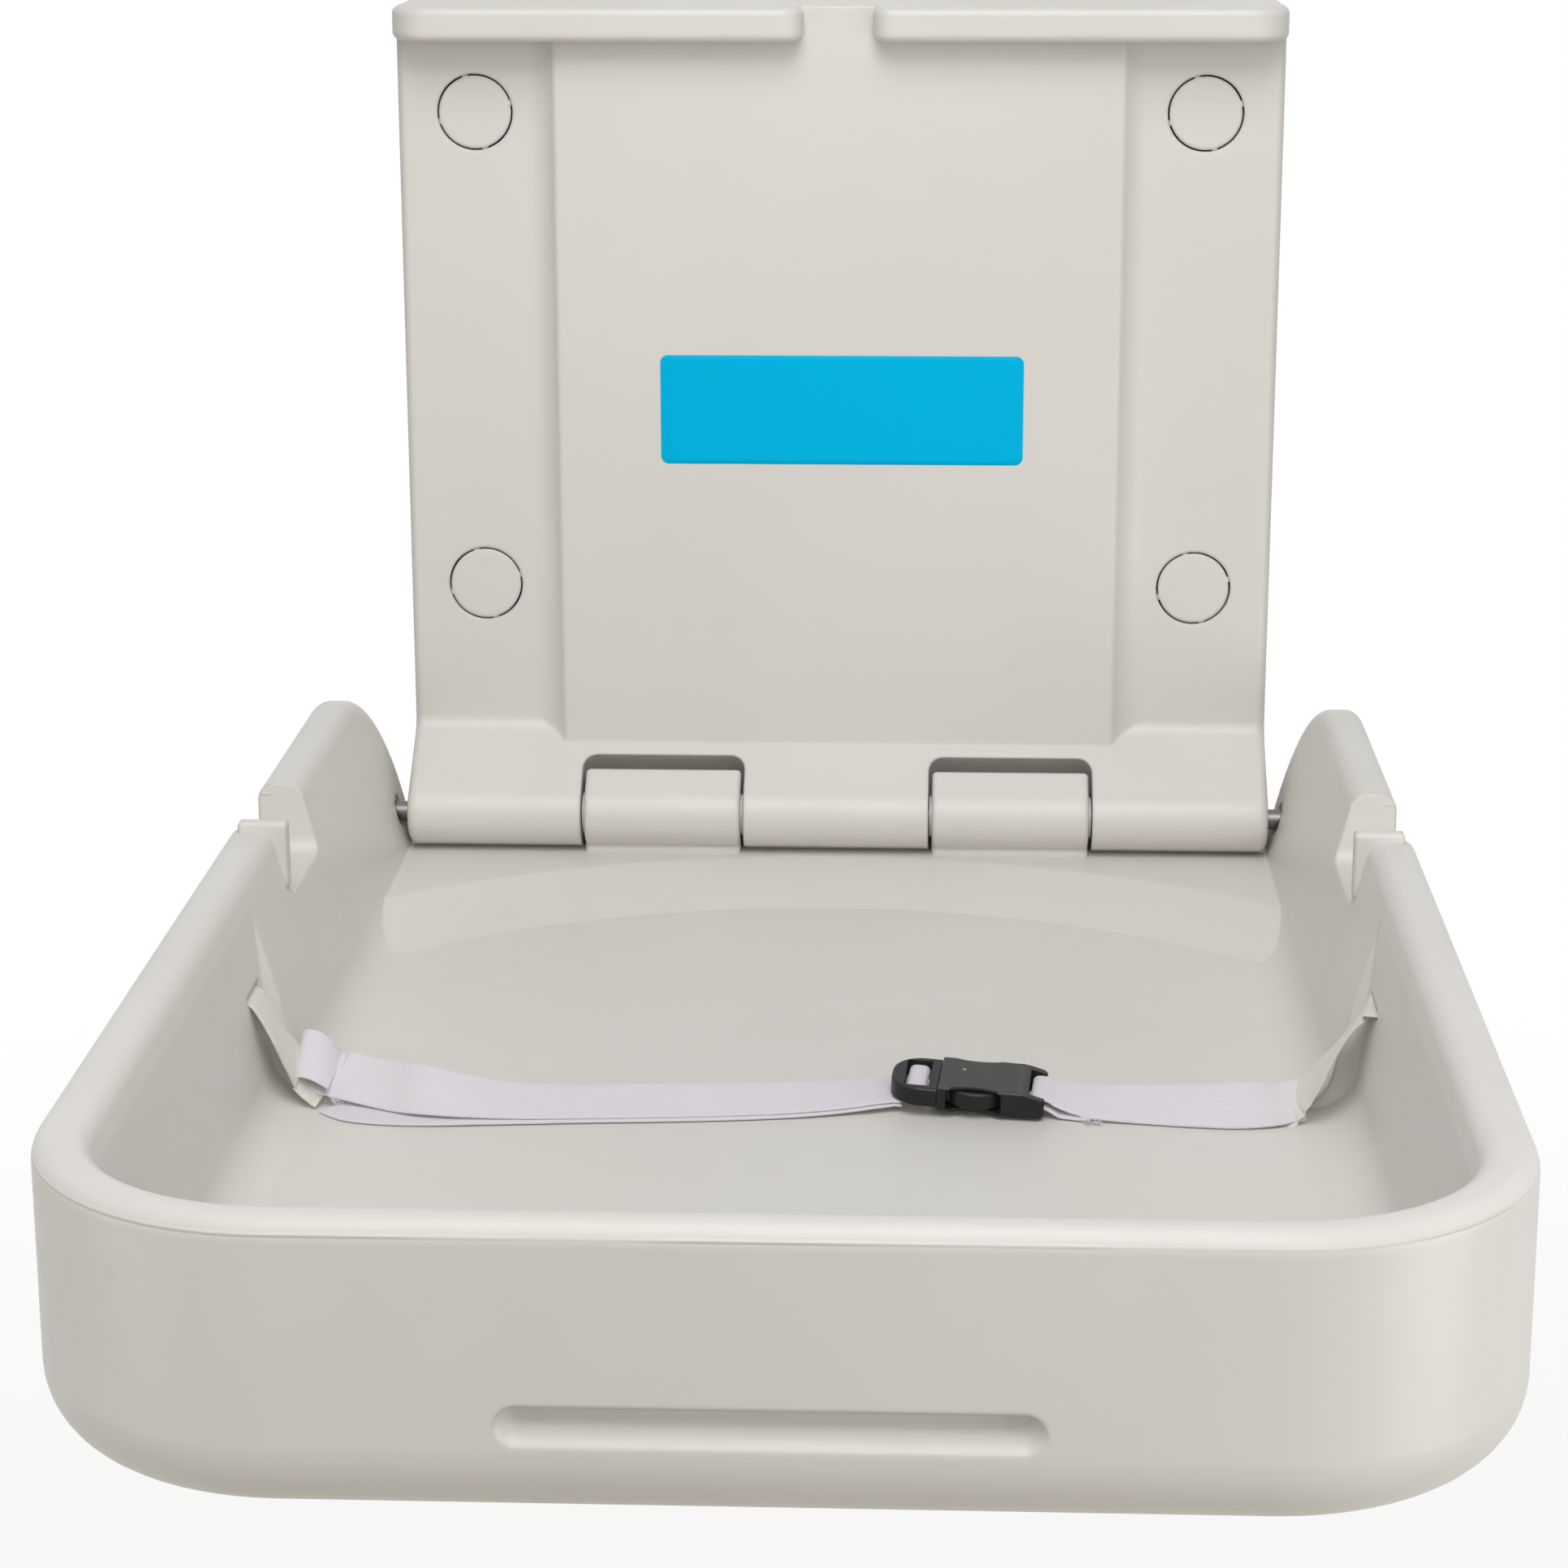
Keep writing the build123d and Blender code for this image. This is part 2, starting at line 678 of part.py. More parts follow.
# Cream webbing from the keeper bars through the slots, down and under the loops of the belt
for side, name, tilt in ((-1, "left", loop_tilt_left), (1, "right", loop_tilt_right)):
    start = Vector(side * (keeper_x - keeper_ring_radius), -slot_out, axis_rise + slot_rise)
    mouth = Vector(side * slot_wall_x, -slot_out, axis_rise + slot_rise)
    landing = lying_place(side * anchor_landing_x, belt_out, tilt, 0)
    way = landing - mouth
    planes = [web_plane(start, 0, 0, side), web_plane(mouth, 0, 0, side)]
    for across_share, down_share, heading, tilt_share in anchor_path_shares:
        place = mouth + Vector(way.X * across_share, way.Y * down_share, way.Z * down_share)
        planes.append(web_plane(place, heading, tilt * tilt_share, side))
    with BuildPart() as anchor_web:
        add(webbing(planes))
        with BuildSketch(Plane.XZ.offset(slot_out)):
            with Locations((side * keeper_x, axis_rise + slot_rise)):
                Circle(keeper_ring_radius + web_thickness)
                Circle(keeper_ring_radius, mode=Mode.SUBTRACT)
        extrude(amount=web_width / 2, both=True)
    anchor_web.part.label = "anchor_web_" + name
    pieces.append(anchor_web.part)

# Buckle: its plane lies in the middle of its thickness, X along the belt and Y across it
buckle_rise = (
    -floor_drop
    + running_gap
    + buckle_width / 2 * math.sin(math.radians(buckle_tilt))
    + buckle_thickness / 2 * math.cos(math.radians(buckle_tilt))
    + socket_length * math.sin(math.radians(buckle_pitch))
)
buckle_plane = Plane(
    Location(
        (buckle_x, -buckle_out, axis_rise + buckle_rise), (buckle_tilt, buckle_pitch, -buckle_yaw)
    )
)


def buckle_level(height):
    """Plane parallel to the buckle's own, this far above its middle."""
    return buckle_plane.offset(height)


# Plug of the buckle: adjuster frame with two slots and a bar, and a centre tongue
plug_end = socket_mouth - running_gap
plug_start = plug_end - plug_length
bar_middle = plug_start + frame_bar + buckle_slot + buckle_bar / 2
web_slot_width = web_width + 2 * web_slot_gap
with BuildPart() as buckle_plug:
    with BuildSketch(buckle_level(-plug_thickness / 2)) as plug_outline:
        with Locations((plug_start, 0)):
            Rectangle(plug_length, buckle_width, align=(Align.MIN, Align.CENTER))
        fillet(plug_outline.vertices().group_by(Axis.X)[0], frame_corner)
    extrude(amount=plug_thickness)
    across_plug = Axis(buckle_plane.origin, buckle_plane.z_dir)
    for end in (0, -1):
        rims = buckle_plug.faces().sort_by(across_plug)[end].edges()
        fillet(rims.sort_by(Axis(buckle_plane.origin, buckle_plane.x_dir))[:-1], buckle_edge_round)
    with BuildSketch(buckle_level(-plug_thickness)):
        with Locations((bar_middle, 0)):
            Rectangle(buckle_bar + 2 * buckle_slot, web_slot_width)
    extrude(amount=2 * plug_thickness, mode=Mode.SUBTRACT)
    with BuildSketch(buckle_level(-bar_thickness / 2)):
        with Locations((bar_middle, 0)):
            Rectangle(buckle_bar, buckle_width - 2 * buckle_edge_round)
    extrude(amount=bar_thickness)
    with BuildSketch(buckle_level(-tongue_thickness / 2)):
        with Locations((plug_end, 0)):
            Rectangle(tongue_length, tongue_width, align=(Align.MIN, Align.CENTER))
    extrude(amount=tongue_thickness)
buckle_plug.part.label = "buckle_plug"
pieces.append(buckle_plug.part)

# Socket of the buckle: hollow body with side windows and thumb recesses for the prongs,
# and two legs that carry a bar for the webbing
socket_end = socket_mouth + socket_length
socket_bar_middle = socket_end - buckle_bar / 2
button_middle = window_start + window_length / 2
with BuildPart() as buckle_socket:
    with BuildSketch(buckle_level(-buckle_thickness / 2)) as socket_outline:
        with Locations((socket_mouth, 0)):
            Rectangle(socket_length, buckle_width, align=(Align.MIN, Align.CENTER))
        fillet(socket_outline.vertices().group_by(Axis.X)[-1], socket_corner)
    extrude(amount=buckle_thickness)
    across_buckle = Axis(buckle_plane.origin, buckle_plane.z_dir)
    for end in (0, -1):
        rims = buckle_socket.faces().sort_by(across_buckle)[end].edges()
        fillet(rims, buckle_edge_round)
    side_plane = Plane(
        origin=buckle_plane.from_local_coords((0, buckle_width, 0)),
        x_dir=buckle_plane.x_dir,
        z_dir=-buckle_plane.y_dir,
    )
    with BuildSketch(side_plane):
        with BuildLine():
            Polyline(
                (socket_end - socket_slope_length, buckle_thickness / 2),
                (socket_end, buckle_thickness / 2 - socket_end_drop),
                (socket_end, buckle_thickness),
                (socket_end - socket_slope_length, buckle_thickness),
                close=True,
            )
        make_face()
    extrude(amount=2 * buckle_width, mode=Mode.SUBTRACT)
    with BuildSketch(buckle_level(-window_height / 2)):
        with Locations((window_start, 0)):
            Rectangle(window_length, 2 * buckle_width, align=(Align.MIN, Align.CENTER))
    extrude(amount=window_height, mode=Mode.SUBTRACT)
    with BuildSketch(buckle_level(-cavity_height / 2)):
        with Locations((socket_mouth, 0)):
            Rectangle(2 * cavity_depth, cavity_width)
    extrude(amount=cavity_height, mode=Mode.SUBTRACT)
    with BuildSketch(buckle_level(-buckle_thickness)):
        with Locations((button_middle, -buckle_width / 2), (button_middle, buckle_width / 2)):
            Ellipse(thumb_recess_length / 2, thumb_recess_depth)
        with Locations((socket_end, 0)):
            Rectangle(2 * (buckle_bar + buckle_slot), web_slot_width)
    extrude(amount=2 * buckle_thickness, mode=Mode.SUBTRACT)
    with BuildSketch(buckle_level(-bar_thickness / 2)):
        with Locations((socket_bar_middle, 0)):
            Rectangle(buckle_bar, buckle_width - 2 * buckle_edge_round)
    extrude(amount=bar_thickness)
buckle_socket.part.label = "buckle_socket"
pieces.append(buckle_socket.part)

# Side prongs of the plug with thicker buttons, pressed inwards to let go of the socket
prong_root = plug_end + running_gap + prong_root_radius
prong_tip = prong_root + prong_length
for side, name in ((-1, "front"), (1, "rear")):
    inner = prong_root_inset - prong_root_radius / 2
    outer = prong_root_inset + prong_root_radius
    shoulder = window_start + window_gap
    with BuildPart() as prong:
        with BuildSketch(buckle_level(-button_thickness / 2)) as button_outline:
            with BuildLine():
                ThreePointArc(
                    (shoulder, side * button_inset),
                    ((shoulder + prong_tip) / 2, side * prong_bulge),
                    (prong_tip, side * button_inset),
                )
                Polyline(
                    (prong_tip, side * button_inset),
                    (prong_tip, side * outer),
                    (shoulder, side * outer),
                    (shoulder, side * button_inset),
                )
            make_face()
        extrude(amount=button_thickness)
        fillet(prong.edges().filter_by(GeomType.CIRCLE), button_edge_round)
        with BuildSketch(buckle_level(-prong_thickness / 2)):
            with Locations((prong_root, side * inner)):
                Rectangle(
                    prong_length, outer - inner, align=(Align.MIN, Align.MIN if side > 0 else Align.MAX)
                )
            with Locations((prong_root, side * prong_root_inset)):
                Circle(prong_root_radius)
        extrude(amount=prong_thickness)
    prong.part.label = "buckle_prong_" + name
    pieces.append(prong.part)


def belt_run(loop_center, loop_tilt, lean_power, bar_end, layer):
    """Sections of webbing from a sewn loop through the tray, climbing to the end of a bar."""
    resting_end = lying_place(bar_end.X, -bar_end.Y, buckle_tilt, layer)
    climb = Vector(0, 0, bar_end.Z - resting_end.Z)
    planes = []
    for step in range(1, belt_steps):
        share = step / belt_steps
        tilt = buckle_tilt + (loop_tilt - buckle_tilt) * (1 - share) ** lean_power
        bow = belt_bow * math.sin(math.pi * share**bow_power)
        x = loop_center.X + (bar_end.X - loop_center.X) * share
        y = loop_center.Y + (bar_end.Y - loop_center.Y) * share
        place = lying_place(x, bow - y, tilt, layer) + climb * share**climb_power
        planes.append(web_plane(place, 0, tilt))
    return planes


def in_buckle(u, w):
    """Section plane of webbing in the buckle, at this place along it and height."""
    width = buckle_plane.y_dir
    return Plane(
        origin=buckle_plane.from_local_coords((u, 0, w)), x_dir=width, z_dir=buckle_plane.x_dir
    )


def bar_ring(u):
    """Webbing wrapped round a bar of the buckle."""
    plane = Plane(
        origin=buckle_plane.from_local_coords((u, 0, 0)),
        x_dir=buckle_plane.x_dir,
        z_dir=-buckle_plane.y_dir,
    )
    return sewn_loop(plane, buckle_bar - web_slot_gap, bar_ring_radius)


bar_ring_radius = bar_thickness / 2 + seat_gap + web_thickness / 2
under_frame = -(plug_thickness / 2 + seat_gap + web_thickness / 2)

# Adjustable half of the belt: sewn loop at the left, main layer, and the wrap round the bar
left_loop = lying_place(-loop_x, belt_out, loop_tilt_left, 1, loop_radius_left)
with BuildPart() as belt_left:
    add(sewn_loop(loop_plane(left_loop, loop_tilt_left), loop_length, loop_radius_left))
    bar_end = in_buckle(plug_start, under_frame)
    add(
        webbing(
            [
                web_plane(
                    left_loop + Vector(loop_length / 2 + loop_radius_left, 0), 0, loop_tilt_left
                ),
                *belt_run(left_loop, loop_tilt_left, lean_power_left, bar_end.origin, 1),
                bar_end,
                in_buckle(plug_start + frame_bar, under_frame),
                in_buckle(bar_middle - bar_thickness / 2, -bar_ring_radius),
                in_buckle(bar_middle, -bar_ring_radius),
            ]
        )
    )
    add(bar_ring(bar_middle))
belt_left.part.label = "belt_left"
pieces.append(belt_left.part)

# Free end of the adjustable half, folded back under the main layer
with BuildPart() as belt_tail:
    under_main = under_frame - web_thickness - running_gap
    tail_end = in_buckle(plug_start, under_main)
    add(
        webbing(
            [
                *belt_run(left_loop, loop_tilt_left, lean_power_left, tail_end.origin, 0),
                tail_end,
                in_buckle(plug_start + frame_bar, under_main),
            ]
        )
    )
belt_tail.part.label = "belt_tail"
pieces.append(belt_tail.part)

# Fixed half of the belt: wrap round the socket's bar, main layer over its top, the short layer
# that comes back under it to the seam, and the sewn loop at the right
right_loop = lying_place(loop_x, belt_out, loop_tilt_right, 1, loop_radius_right)
with BuildPart() as belt_right:
    add(sewn_loop(loop_plane(right_loop, loop_tilt_right), loop_length, loop_radius_right))
    bar_end = in_buckle(socket_end, bar_ring_radius)
    run = belt_run(right_loop, loop_tilt_right, lean_power_right, bar_end.origin, 0)
    add(
        webbing(
            [
                web_plane(
                    right_loop - Vector(loop_length / 2 + loop_radius_right, 0), 0, loop_tilt_right
                ),
                *run,
                bar_end,
                in_buckle(socket_bar_middle, bar_ring_radius),
            ]
        )
    )
    short_layer = []
    for step, plane in enumerate(run[-seam_steps:]):
        opening = step * (2 * bar_ring_radius - web_thickness + seam_sink) / seam_steps
        below = plane.y_dir * (web_thickness - seam_sink + opening)
        short_layer.append(Plane(plane.origin - below, x_dir=plane.x_dir, z_dir=plane.z_dir))
    add(
        webbing(
            [
                *short_layer,
                in_buckle(socket_end, -bar_ring_radius),
                in_buckle(socket_bar_middle, -bar_ring_radius),
            ]
        )
    )
    add(bar_ring(socket_bar_middle))
belt_right.part.label = "belt_right"
pieces.append(belt_right.part)

os.makedirs("parts", exist_ok=True)
for piece in pieces:
    export_step(piece, f"parts/{piece.label}.step")
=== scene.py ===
import bpy
import json
import math
import numpy as np
from bpy.props import FloatProperty, FloatVectorProperty, PointerProperty
from mathutils import Euler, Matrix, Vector


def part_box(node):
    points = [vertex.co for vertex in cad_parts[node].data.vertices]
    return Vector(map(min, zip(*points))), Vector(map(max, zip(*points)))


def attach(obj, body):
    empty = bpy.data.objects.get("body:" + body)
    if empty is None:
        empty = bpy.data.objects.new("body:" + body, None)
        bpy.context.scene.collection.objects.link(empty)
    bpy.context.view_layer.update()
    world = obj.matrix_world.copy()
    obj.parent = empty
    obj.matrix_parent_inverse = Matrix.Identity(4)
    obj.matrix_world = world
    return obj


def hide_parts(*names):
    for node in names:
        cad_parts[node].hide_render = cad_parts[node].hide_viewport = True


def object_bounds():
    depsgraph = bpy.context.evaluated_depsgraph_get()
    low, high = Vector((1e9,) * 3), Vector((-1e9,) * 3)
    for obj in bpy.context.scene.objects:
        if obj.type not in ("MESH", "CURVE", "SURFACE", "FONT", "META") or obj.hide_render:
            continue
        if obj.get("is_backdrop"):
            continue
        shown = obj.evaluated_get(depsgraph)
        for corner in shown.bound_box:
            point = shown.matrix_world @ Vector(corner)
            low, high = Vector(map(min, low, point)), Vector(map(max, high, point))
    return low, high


bl_info = {
    "name": "Wall-mounted changing table",
    "version": (1, 0, 0),
    "blender": (4, 5, 0),
    "location": "3D View > Sidebar > Changing table",
    "description": "Finishes and webbing for a fold-down changing table, on its packed solids",
    "category": "Object",
}

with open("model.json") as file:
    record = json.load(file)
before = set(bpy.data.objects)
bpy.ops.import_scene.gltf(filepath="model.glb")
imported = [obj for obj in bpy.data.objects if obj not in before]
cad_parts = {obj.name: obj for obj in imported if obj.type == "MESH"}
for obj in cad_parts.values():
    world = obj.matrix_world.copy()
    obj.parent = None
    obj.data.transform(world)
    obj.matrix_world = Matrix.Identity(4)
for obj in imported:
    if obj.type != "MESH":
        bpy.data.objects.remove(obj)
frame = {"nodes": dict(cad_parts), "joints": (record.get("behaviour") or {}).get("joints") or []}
NODES = frame["nodes"]
AXIS = np.array(frame["joints"][0]["pos_m"])


def node_box(name):
    """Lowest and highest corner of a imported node, as arrays in metres."""
    return [np.array(corner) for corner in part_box(name)]


BED_LOW, BED_HIGH = node_box("bed_shell")
# Radius of the bed's front corners, and the space between pieces that don't touch
BED_CORNER = 0.1
CLEARANCE = 0.0003


def colour(name, description, default):
    """A colour that a user may change, in linear light."""
    return FloatVectorProperty(
        name=name, description=description, default=default, subtype="COLOR", size=3, min=0, max=1
    )


def number(name, description, default, unit="NONE"):
    """A number that a user may change, in metres, radians or watts where it has a unit."""
    return FloatProperty(
        name=name, description=description, default=default, unit=unit, precision=4
    )


def length(name, description, default):
    """A length in metres that a user may change."""
    return number(name, description, default, "LENGTH")


def angle(name, description, default):
    """An angle that a user may change, stored in radians and given here in degrees."""
    return number(name, description, math.radians(default), "ROTATION")


# Sizes and colours


class MouldingLooks(bpy.types.PropertyGroup):
    body: colour("Body", "Warm light grey of the mouldings", (0.715, 0.692, 0.652))
    shade: colour("Second tone", "Slightly darker tone of the clouds", (0.695, 0.672, 0.628))
    speck: colour("Specks", "Faint darker specks in the plastic", (0.6, 0.575, 0.53))
    roughness: number("Roughness", "Base roughness of the plastic", 0.36)
    grain: number("Grain per metre", "How fine the grain of the mould is", 1500)
    edge: length("Soft edges", "Radius by which the sharp edges look rounded", 0.003)
    seam_drop: length("Seam drop", "Height of the rim above the parting line of the mould", 0.0101)
    seam_width: length("Seam width", "Width of the parting line", 0.0011)


class WebbingSizes(bpy.types.PropertyGroup):
    width: length("Width", "Width of the webbing", 0.025)
    thickness: length("Thickness", "Thickness of the webbing", 0.0014)
    rib: length("Rib pitch", "Distance from rib to rib along the webbing", 0.00135)
    yarn: length("Yarn pitch", "Distance from warp yarn to warp yarn", 0.0013)
    stitch: length("Stitch", "Length of one stitch", 0.0023)
    stitch_pitch: length("Stitch pitch", "Distance from stitch to stitch", 0.0029)
    thread_radius: length("Thread", "Radius of the sewing thread", 0.00028)
    lilac: colour("Lilac", "Colour of the belt", (0.745, 0.705, 0.76))
    cream: colour("Cream", "Colour of the anchor webs", (0.74, 0.735, 0.655))
    thread: colour("Thread", "Colour of the stitching", (0.86, 0.83, 0.86))


class BeltPlaces(bpy.types.PropertyGroup):
    gap: length("Gap", "Clearance round the webbing in the buckle", 0.0001)
    ring_half: length("Wrap", "Half the length of the wrap on a bar", 0.00425)
    fold_x: length("Fold place", "Front corner of the open fold to the left", 0.2336)
    fold_out: length("Fold from the wall", "Front corner of the open fold", 0.4552)
    fold_rise: length("Fold rise", "Front corner of the open fold above the hinge axis", -0.0182)
    hollow: length("Hollow", "Swell of the open fold", 0.0041)
    bulge: length("Bulge", "How far the open fold arches upward, times four", 0.0034)
    dip: length("Dip", "How far a seam pulls the webbing down", 0.0005)
    seam_x: length("Right seam", "Seam of the right half to the right", 0.125)
    sewn_end: length("Sewn end", "How far the fold's lower layer reaches past the seam", 0.0022)
    flat_radius: length("Flat fold", "Radius of the flat fold at the right end", 0.0011)
    flat_reach: length("Flat fold place", "Flat fold beyond the drawn line", 0.0055)
    flat_under: length("Flat fold end", "How far the flat fold's lower layer runs back", 0.009)
    floor_drop: length("Floor drop", "Floor of the bed below the hinge axis", 0.032)


class BuckleSizes(bpy.types.PropertyGroup):
    x: length("Buckle place", "Middle of the buckle to the right", 0.073)
    out: length("Buckle from the wall", "Middle of the buckle from the wall", 0.444)
    tilt: angle("Buckle lean", "Lean of the buckle on its front edge", 5)
    pitch: angle("Buckle pitch", "How far the buckle's left end is lifted", 2.5)
    yaw: angle("Buckle turn", "Turn of the buckle seen from above", 5)
    width: length("Width", "Width of the buckle", 0.034)
    thickness: length("Thickness", "Thickness of the socket", 0.012)
    frame_thickness: length("Frame thickness", "Thickness of the adjuster frame", 0.009)
    socket_length: length("Socket length", "Length of the socket", 0.048)
    mouth: length("Mouth", "Mouth of the socket from the middle of the buckle", -0.015)
    plug_length: length("Plug length", "Length of the adjuster frame", 0.0215)
    frame_bar: length("Frame bar", "Width of the frame's rounded end", 0.006)
    bar: length("Bar", "Width of a bar for the webbing", 0.0035)
    slot: length("Slot", "Width of a slot beside a bar", 0.004)
    bar_thickness: length("Bar thickness", "Thickness of a bar for the webbing", 0.0025)
    black: colour("Plastic", "Dark plastic of the buckle", (0.0125, 0.0125, 0.012))
    # Painted light: the socket's upper face is painted paler, as if lit from above
    top: colour("Upper face", "Paler upper face of the socket", (0.04, 0.0425, 0.0375))
    # Painted glint: one bright spot painted on the socket's upper face
    painted_glint: colour("Fleck", "Bright fleck on the socket", (0.7, 0.7, 0.68))
    painted_glint_in: length("Fleck place", "Fleck behind the socket's mouth", 0.0105)
    painted_glint_back: length("Fleck rear", "Fleck to the rear of the buckle's middle", 0.0045)


class StickerSizes(bpy.types.PropertyGroup):
    width: length("Width", "Width of the bare sticker", 0.1935)
    height: length("Height", "Height of the bare sticker", 0.0585)
    x: length("Place", "Middle of the sticker to the right", 0.002)
    rise: length("Rise", "Middle of the sticker above the hinge axis", 0.2195)
    panel_depth: length("Panel face", "Face of the panel's centre from the wall", 0.062)
    corner: length("Corner", "Radius of the corners", 0.0042)
    thickness: length("Thickness", "Thickness of the vinyl", 0.0002)
    cyan: colour("Vinyl", "Colour of the bare sticker", (0.0, 0.47, 0.785))


class StageSizes(bpy.types.PropertyGroup):
    lens: number("Lens", "Focal length in millimetres", 86.5)
    camera_x: length("Camera right", "Camera place to the right", 0.0598)
    camera_out: length("Camera out", "Camera place from the wall", 2.0507)
    camera_rise: length("Camera rise", "Camera place above the bolt pattern", 0.3192)
    pitch: angle("Pitch", "How far the camera looks down", 15.59)
    yaw: angle("Yaw", "How far the camera is turned to the left", 2.565)
    roll: angle("Roll", "Turn of the camera about its own line", -0.14)
    floor_drop: length("Floor", "Floor below the bolt pattern", 1.15)
    floor_half: length("Floor size", "Half the side of the floor", 6.0)
    fade_near: length("Fade near", "Where the floor starts to fade into the background", 0.9)
    fade_far: length("Fade far", "Where the floor has faded into the background", 2.6)
    sky: number("Sky", "Strength of the even light all round", 0.325)
    front: number("Front", "Lamp at the camera", 16.5, "POWER")
    near: number("Near", "Lamp above the bed", 4.2, "POWER")
    high: number("High", "Lamp high in front", 11.5, "POWER")
    left: number("Left", "Low lamp at the left", 0.9, "POWER")
    right: number("Right", "Low lamp at the right", 2.2, "POWER")


# Square lamps, each with its place and its side in metres, all turned to one point. StageSizes
# holds their powers under the same names
LAMPS = (
    ("front", (0.3, -2.6, 1.2), 1.8),
    ("near", (0.0, -0.85, 0.95), 0.7),
    ("high", (0.0, -1.7, 1.7), 1.2),
    ("left", (-0.85, -1.05, -0.3), 0.5),
    ("right", (0.85, -1.05, -0.3), 0.5),
)
LAMP_TARGET = Vector((0, -0.4, -0.15))

# Where the belt lies. Each row is a place of the webbing's front edge, in metres to the right,
# out from the wall and above the hinge axis, then the lean of its width and the turn of its far
# edge to the right, in degrees
MAIN_LEFT = (
    (-0.2153, 0.4560, -0.0266, 37, -4),
    (-0.1906, 0.4660, -0.0284, 38, -1),
    (-0.1770, 0.4725, -0.0282, 41, 0),
    (-0.1640, 0.4752, -0.0282, 35, 0),
    (-0.1477, 0.4755, -0.0286, 25, 0),
    (-0.1280, 0.4746, -0.0291, 19, 0),
    (-0.1080, 0.4730, -0.0293, 17, 0),
    (-0.0700, 0.4700, -0.0294, 17, 0),
    (-0.0355, 0.4665, -0.0294, 16, 0),
    (-0.0050, 0.4620, -0.0290, 13, 0),
    (0.0160, 0.4575, -0.0282, 10, 0),
    (0.0280, 0.4548, -0.0272, 7, 0),
)
TAIL = (
    (-0.2128, 0.4676, -0.0310, 2, 0),
    (-0.2045, 0.4752, -0.0310, 2, 0),
    (-0.1910, 0.4786, -0.0310, 2, 0),
    (-0.1765, 0.4795, -0.0310, 4, 0),
    (-0.1600, 0.4788, -0.0310, 9, 0),
    (-0.1476, 0.4775, -0.0310, 14, 0),
    (-0.1280, 0.4758, -0.0310, 17, 0),
    (-0.1080, 0.4738, -0.0310, 17, 0),
    (-0.0700, 0.4709, -0.0310, 17, 0),
    (-0.0355, 0.4674, -0.0310, 16, 0),
    (-0.0050, 0.4628, -0.0307, 13, 0),
    (0.0160, 0.4582, -0.0299, 10, 0),
    (0.0280, 0.4555, -0.0289, 7, 0),
)
MAIN_RIGHT = (
    (0.1100, 0.4596, -0.0252, 7, 0),
    (0.1170, 0.4606, -0.0276, 13, 0),
    (0.1250, 0.4625, -0.0296, 17, 0),
    (0.1360, 0.4640, -0.0304, 20, 0),
    (0.1460, 0.4650, -0.0308, 23, 0),
    (0.1570, 0.4666, -0.0309, 25, 0),
    (0.1750, 0.4690, -0.0309, 30, 0),
    (0.1925, 0.4698, -0.0309, 35, 0),
    (0.2034, 0.4681, -0.0303, 31, 0),
    (0.2140, 0.4628, -0.0288, 21, 0),
)
SHORT_RIGHT = (
    (0.1080, 0.4598, -0.0282, 6, 0),
    (0.1125, 0.4605, -0.0300, 7, 0),
    (0.1180, 0.4615, -0.0304, 13, 0),
    (0.1250, 0.4632, -0.0309, 17, 0),
    (0.1275, 0.4636, -0.0310, 17, 0),
)
# Middle of a cream web: to the side, out from the wall and above the hinge axis, in metres, then
# the lean of its width and the turn of its front edge away from the side wall, in degrees
ANCHOR_LINES = {
    "left": (
        (0.2478, 0.4620, 0.0215, 0, 0),
        (0.2440, 0.4615, 0.0145, 0, 2),
        (0.2405, 0.4605, 0.0060, 2, 4),
        (0.2372, 0.4550, -0.0050, 12, 5),
        (0.2345, 0.4500, -0.0125, 26, 3),
        (0.2309, 0.4480, -0.0168, 36, 0),
        (0.2270, 0.4482, -0.0205, 37, 0),
        (0.2225, 0.4486, -0.0238, 37, 0),
        (0.2195, 0.4490, -0.0256, 36, 0),
    ),
    "right": (
        (0.2478, 0.4600, 0.0238, 0, 6),
        (0.2436, 0.4580, 0.0165, 0, 15),
        (0.2388, 0.4560, 0.0080, 1, 16),
        (0.2332, 0.4540, -0.0020, 4, 11),
        (0.2280, 0.4525, -0.0110, 10, 4),
        (0.2228, 0.4510, -0.0190, 14, 0),
        (0.2180, 0.4510, -0.0245, 18, 0),
        (0.2125, 0.4525, -0.0276, 21, 0),
        (0.2060, 0.4560, -0.0292, 27, 0),
    ),
}
# Thread ends at the two seams: offset of their root, spread of the roots, heading and curl, each
# in metres along the webbing, to the rear across it, and up
TUFT_LEFT = ((0.0015, -0.0001, 0), (0.004, 0, 0), (-0.002, -0.0034, 0), (-0.001, 0, 0.002))
TUFT_RIGHT = ((-0.003, -0.0001, 0), (0.0045, 0, 0), (0.0022, -0.003, 0), (0.0006, 0, 0.0026))
# Directions of the webbing's width at the open fold, and of the flat fold at the right end
FOLD_WIDTH = (0.05, 0.743, 0.667)
FLAT_FOLD = (1.0, 0.2, 0.08)


# Shader maths


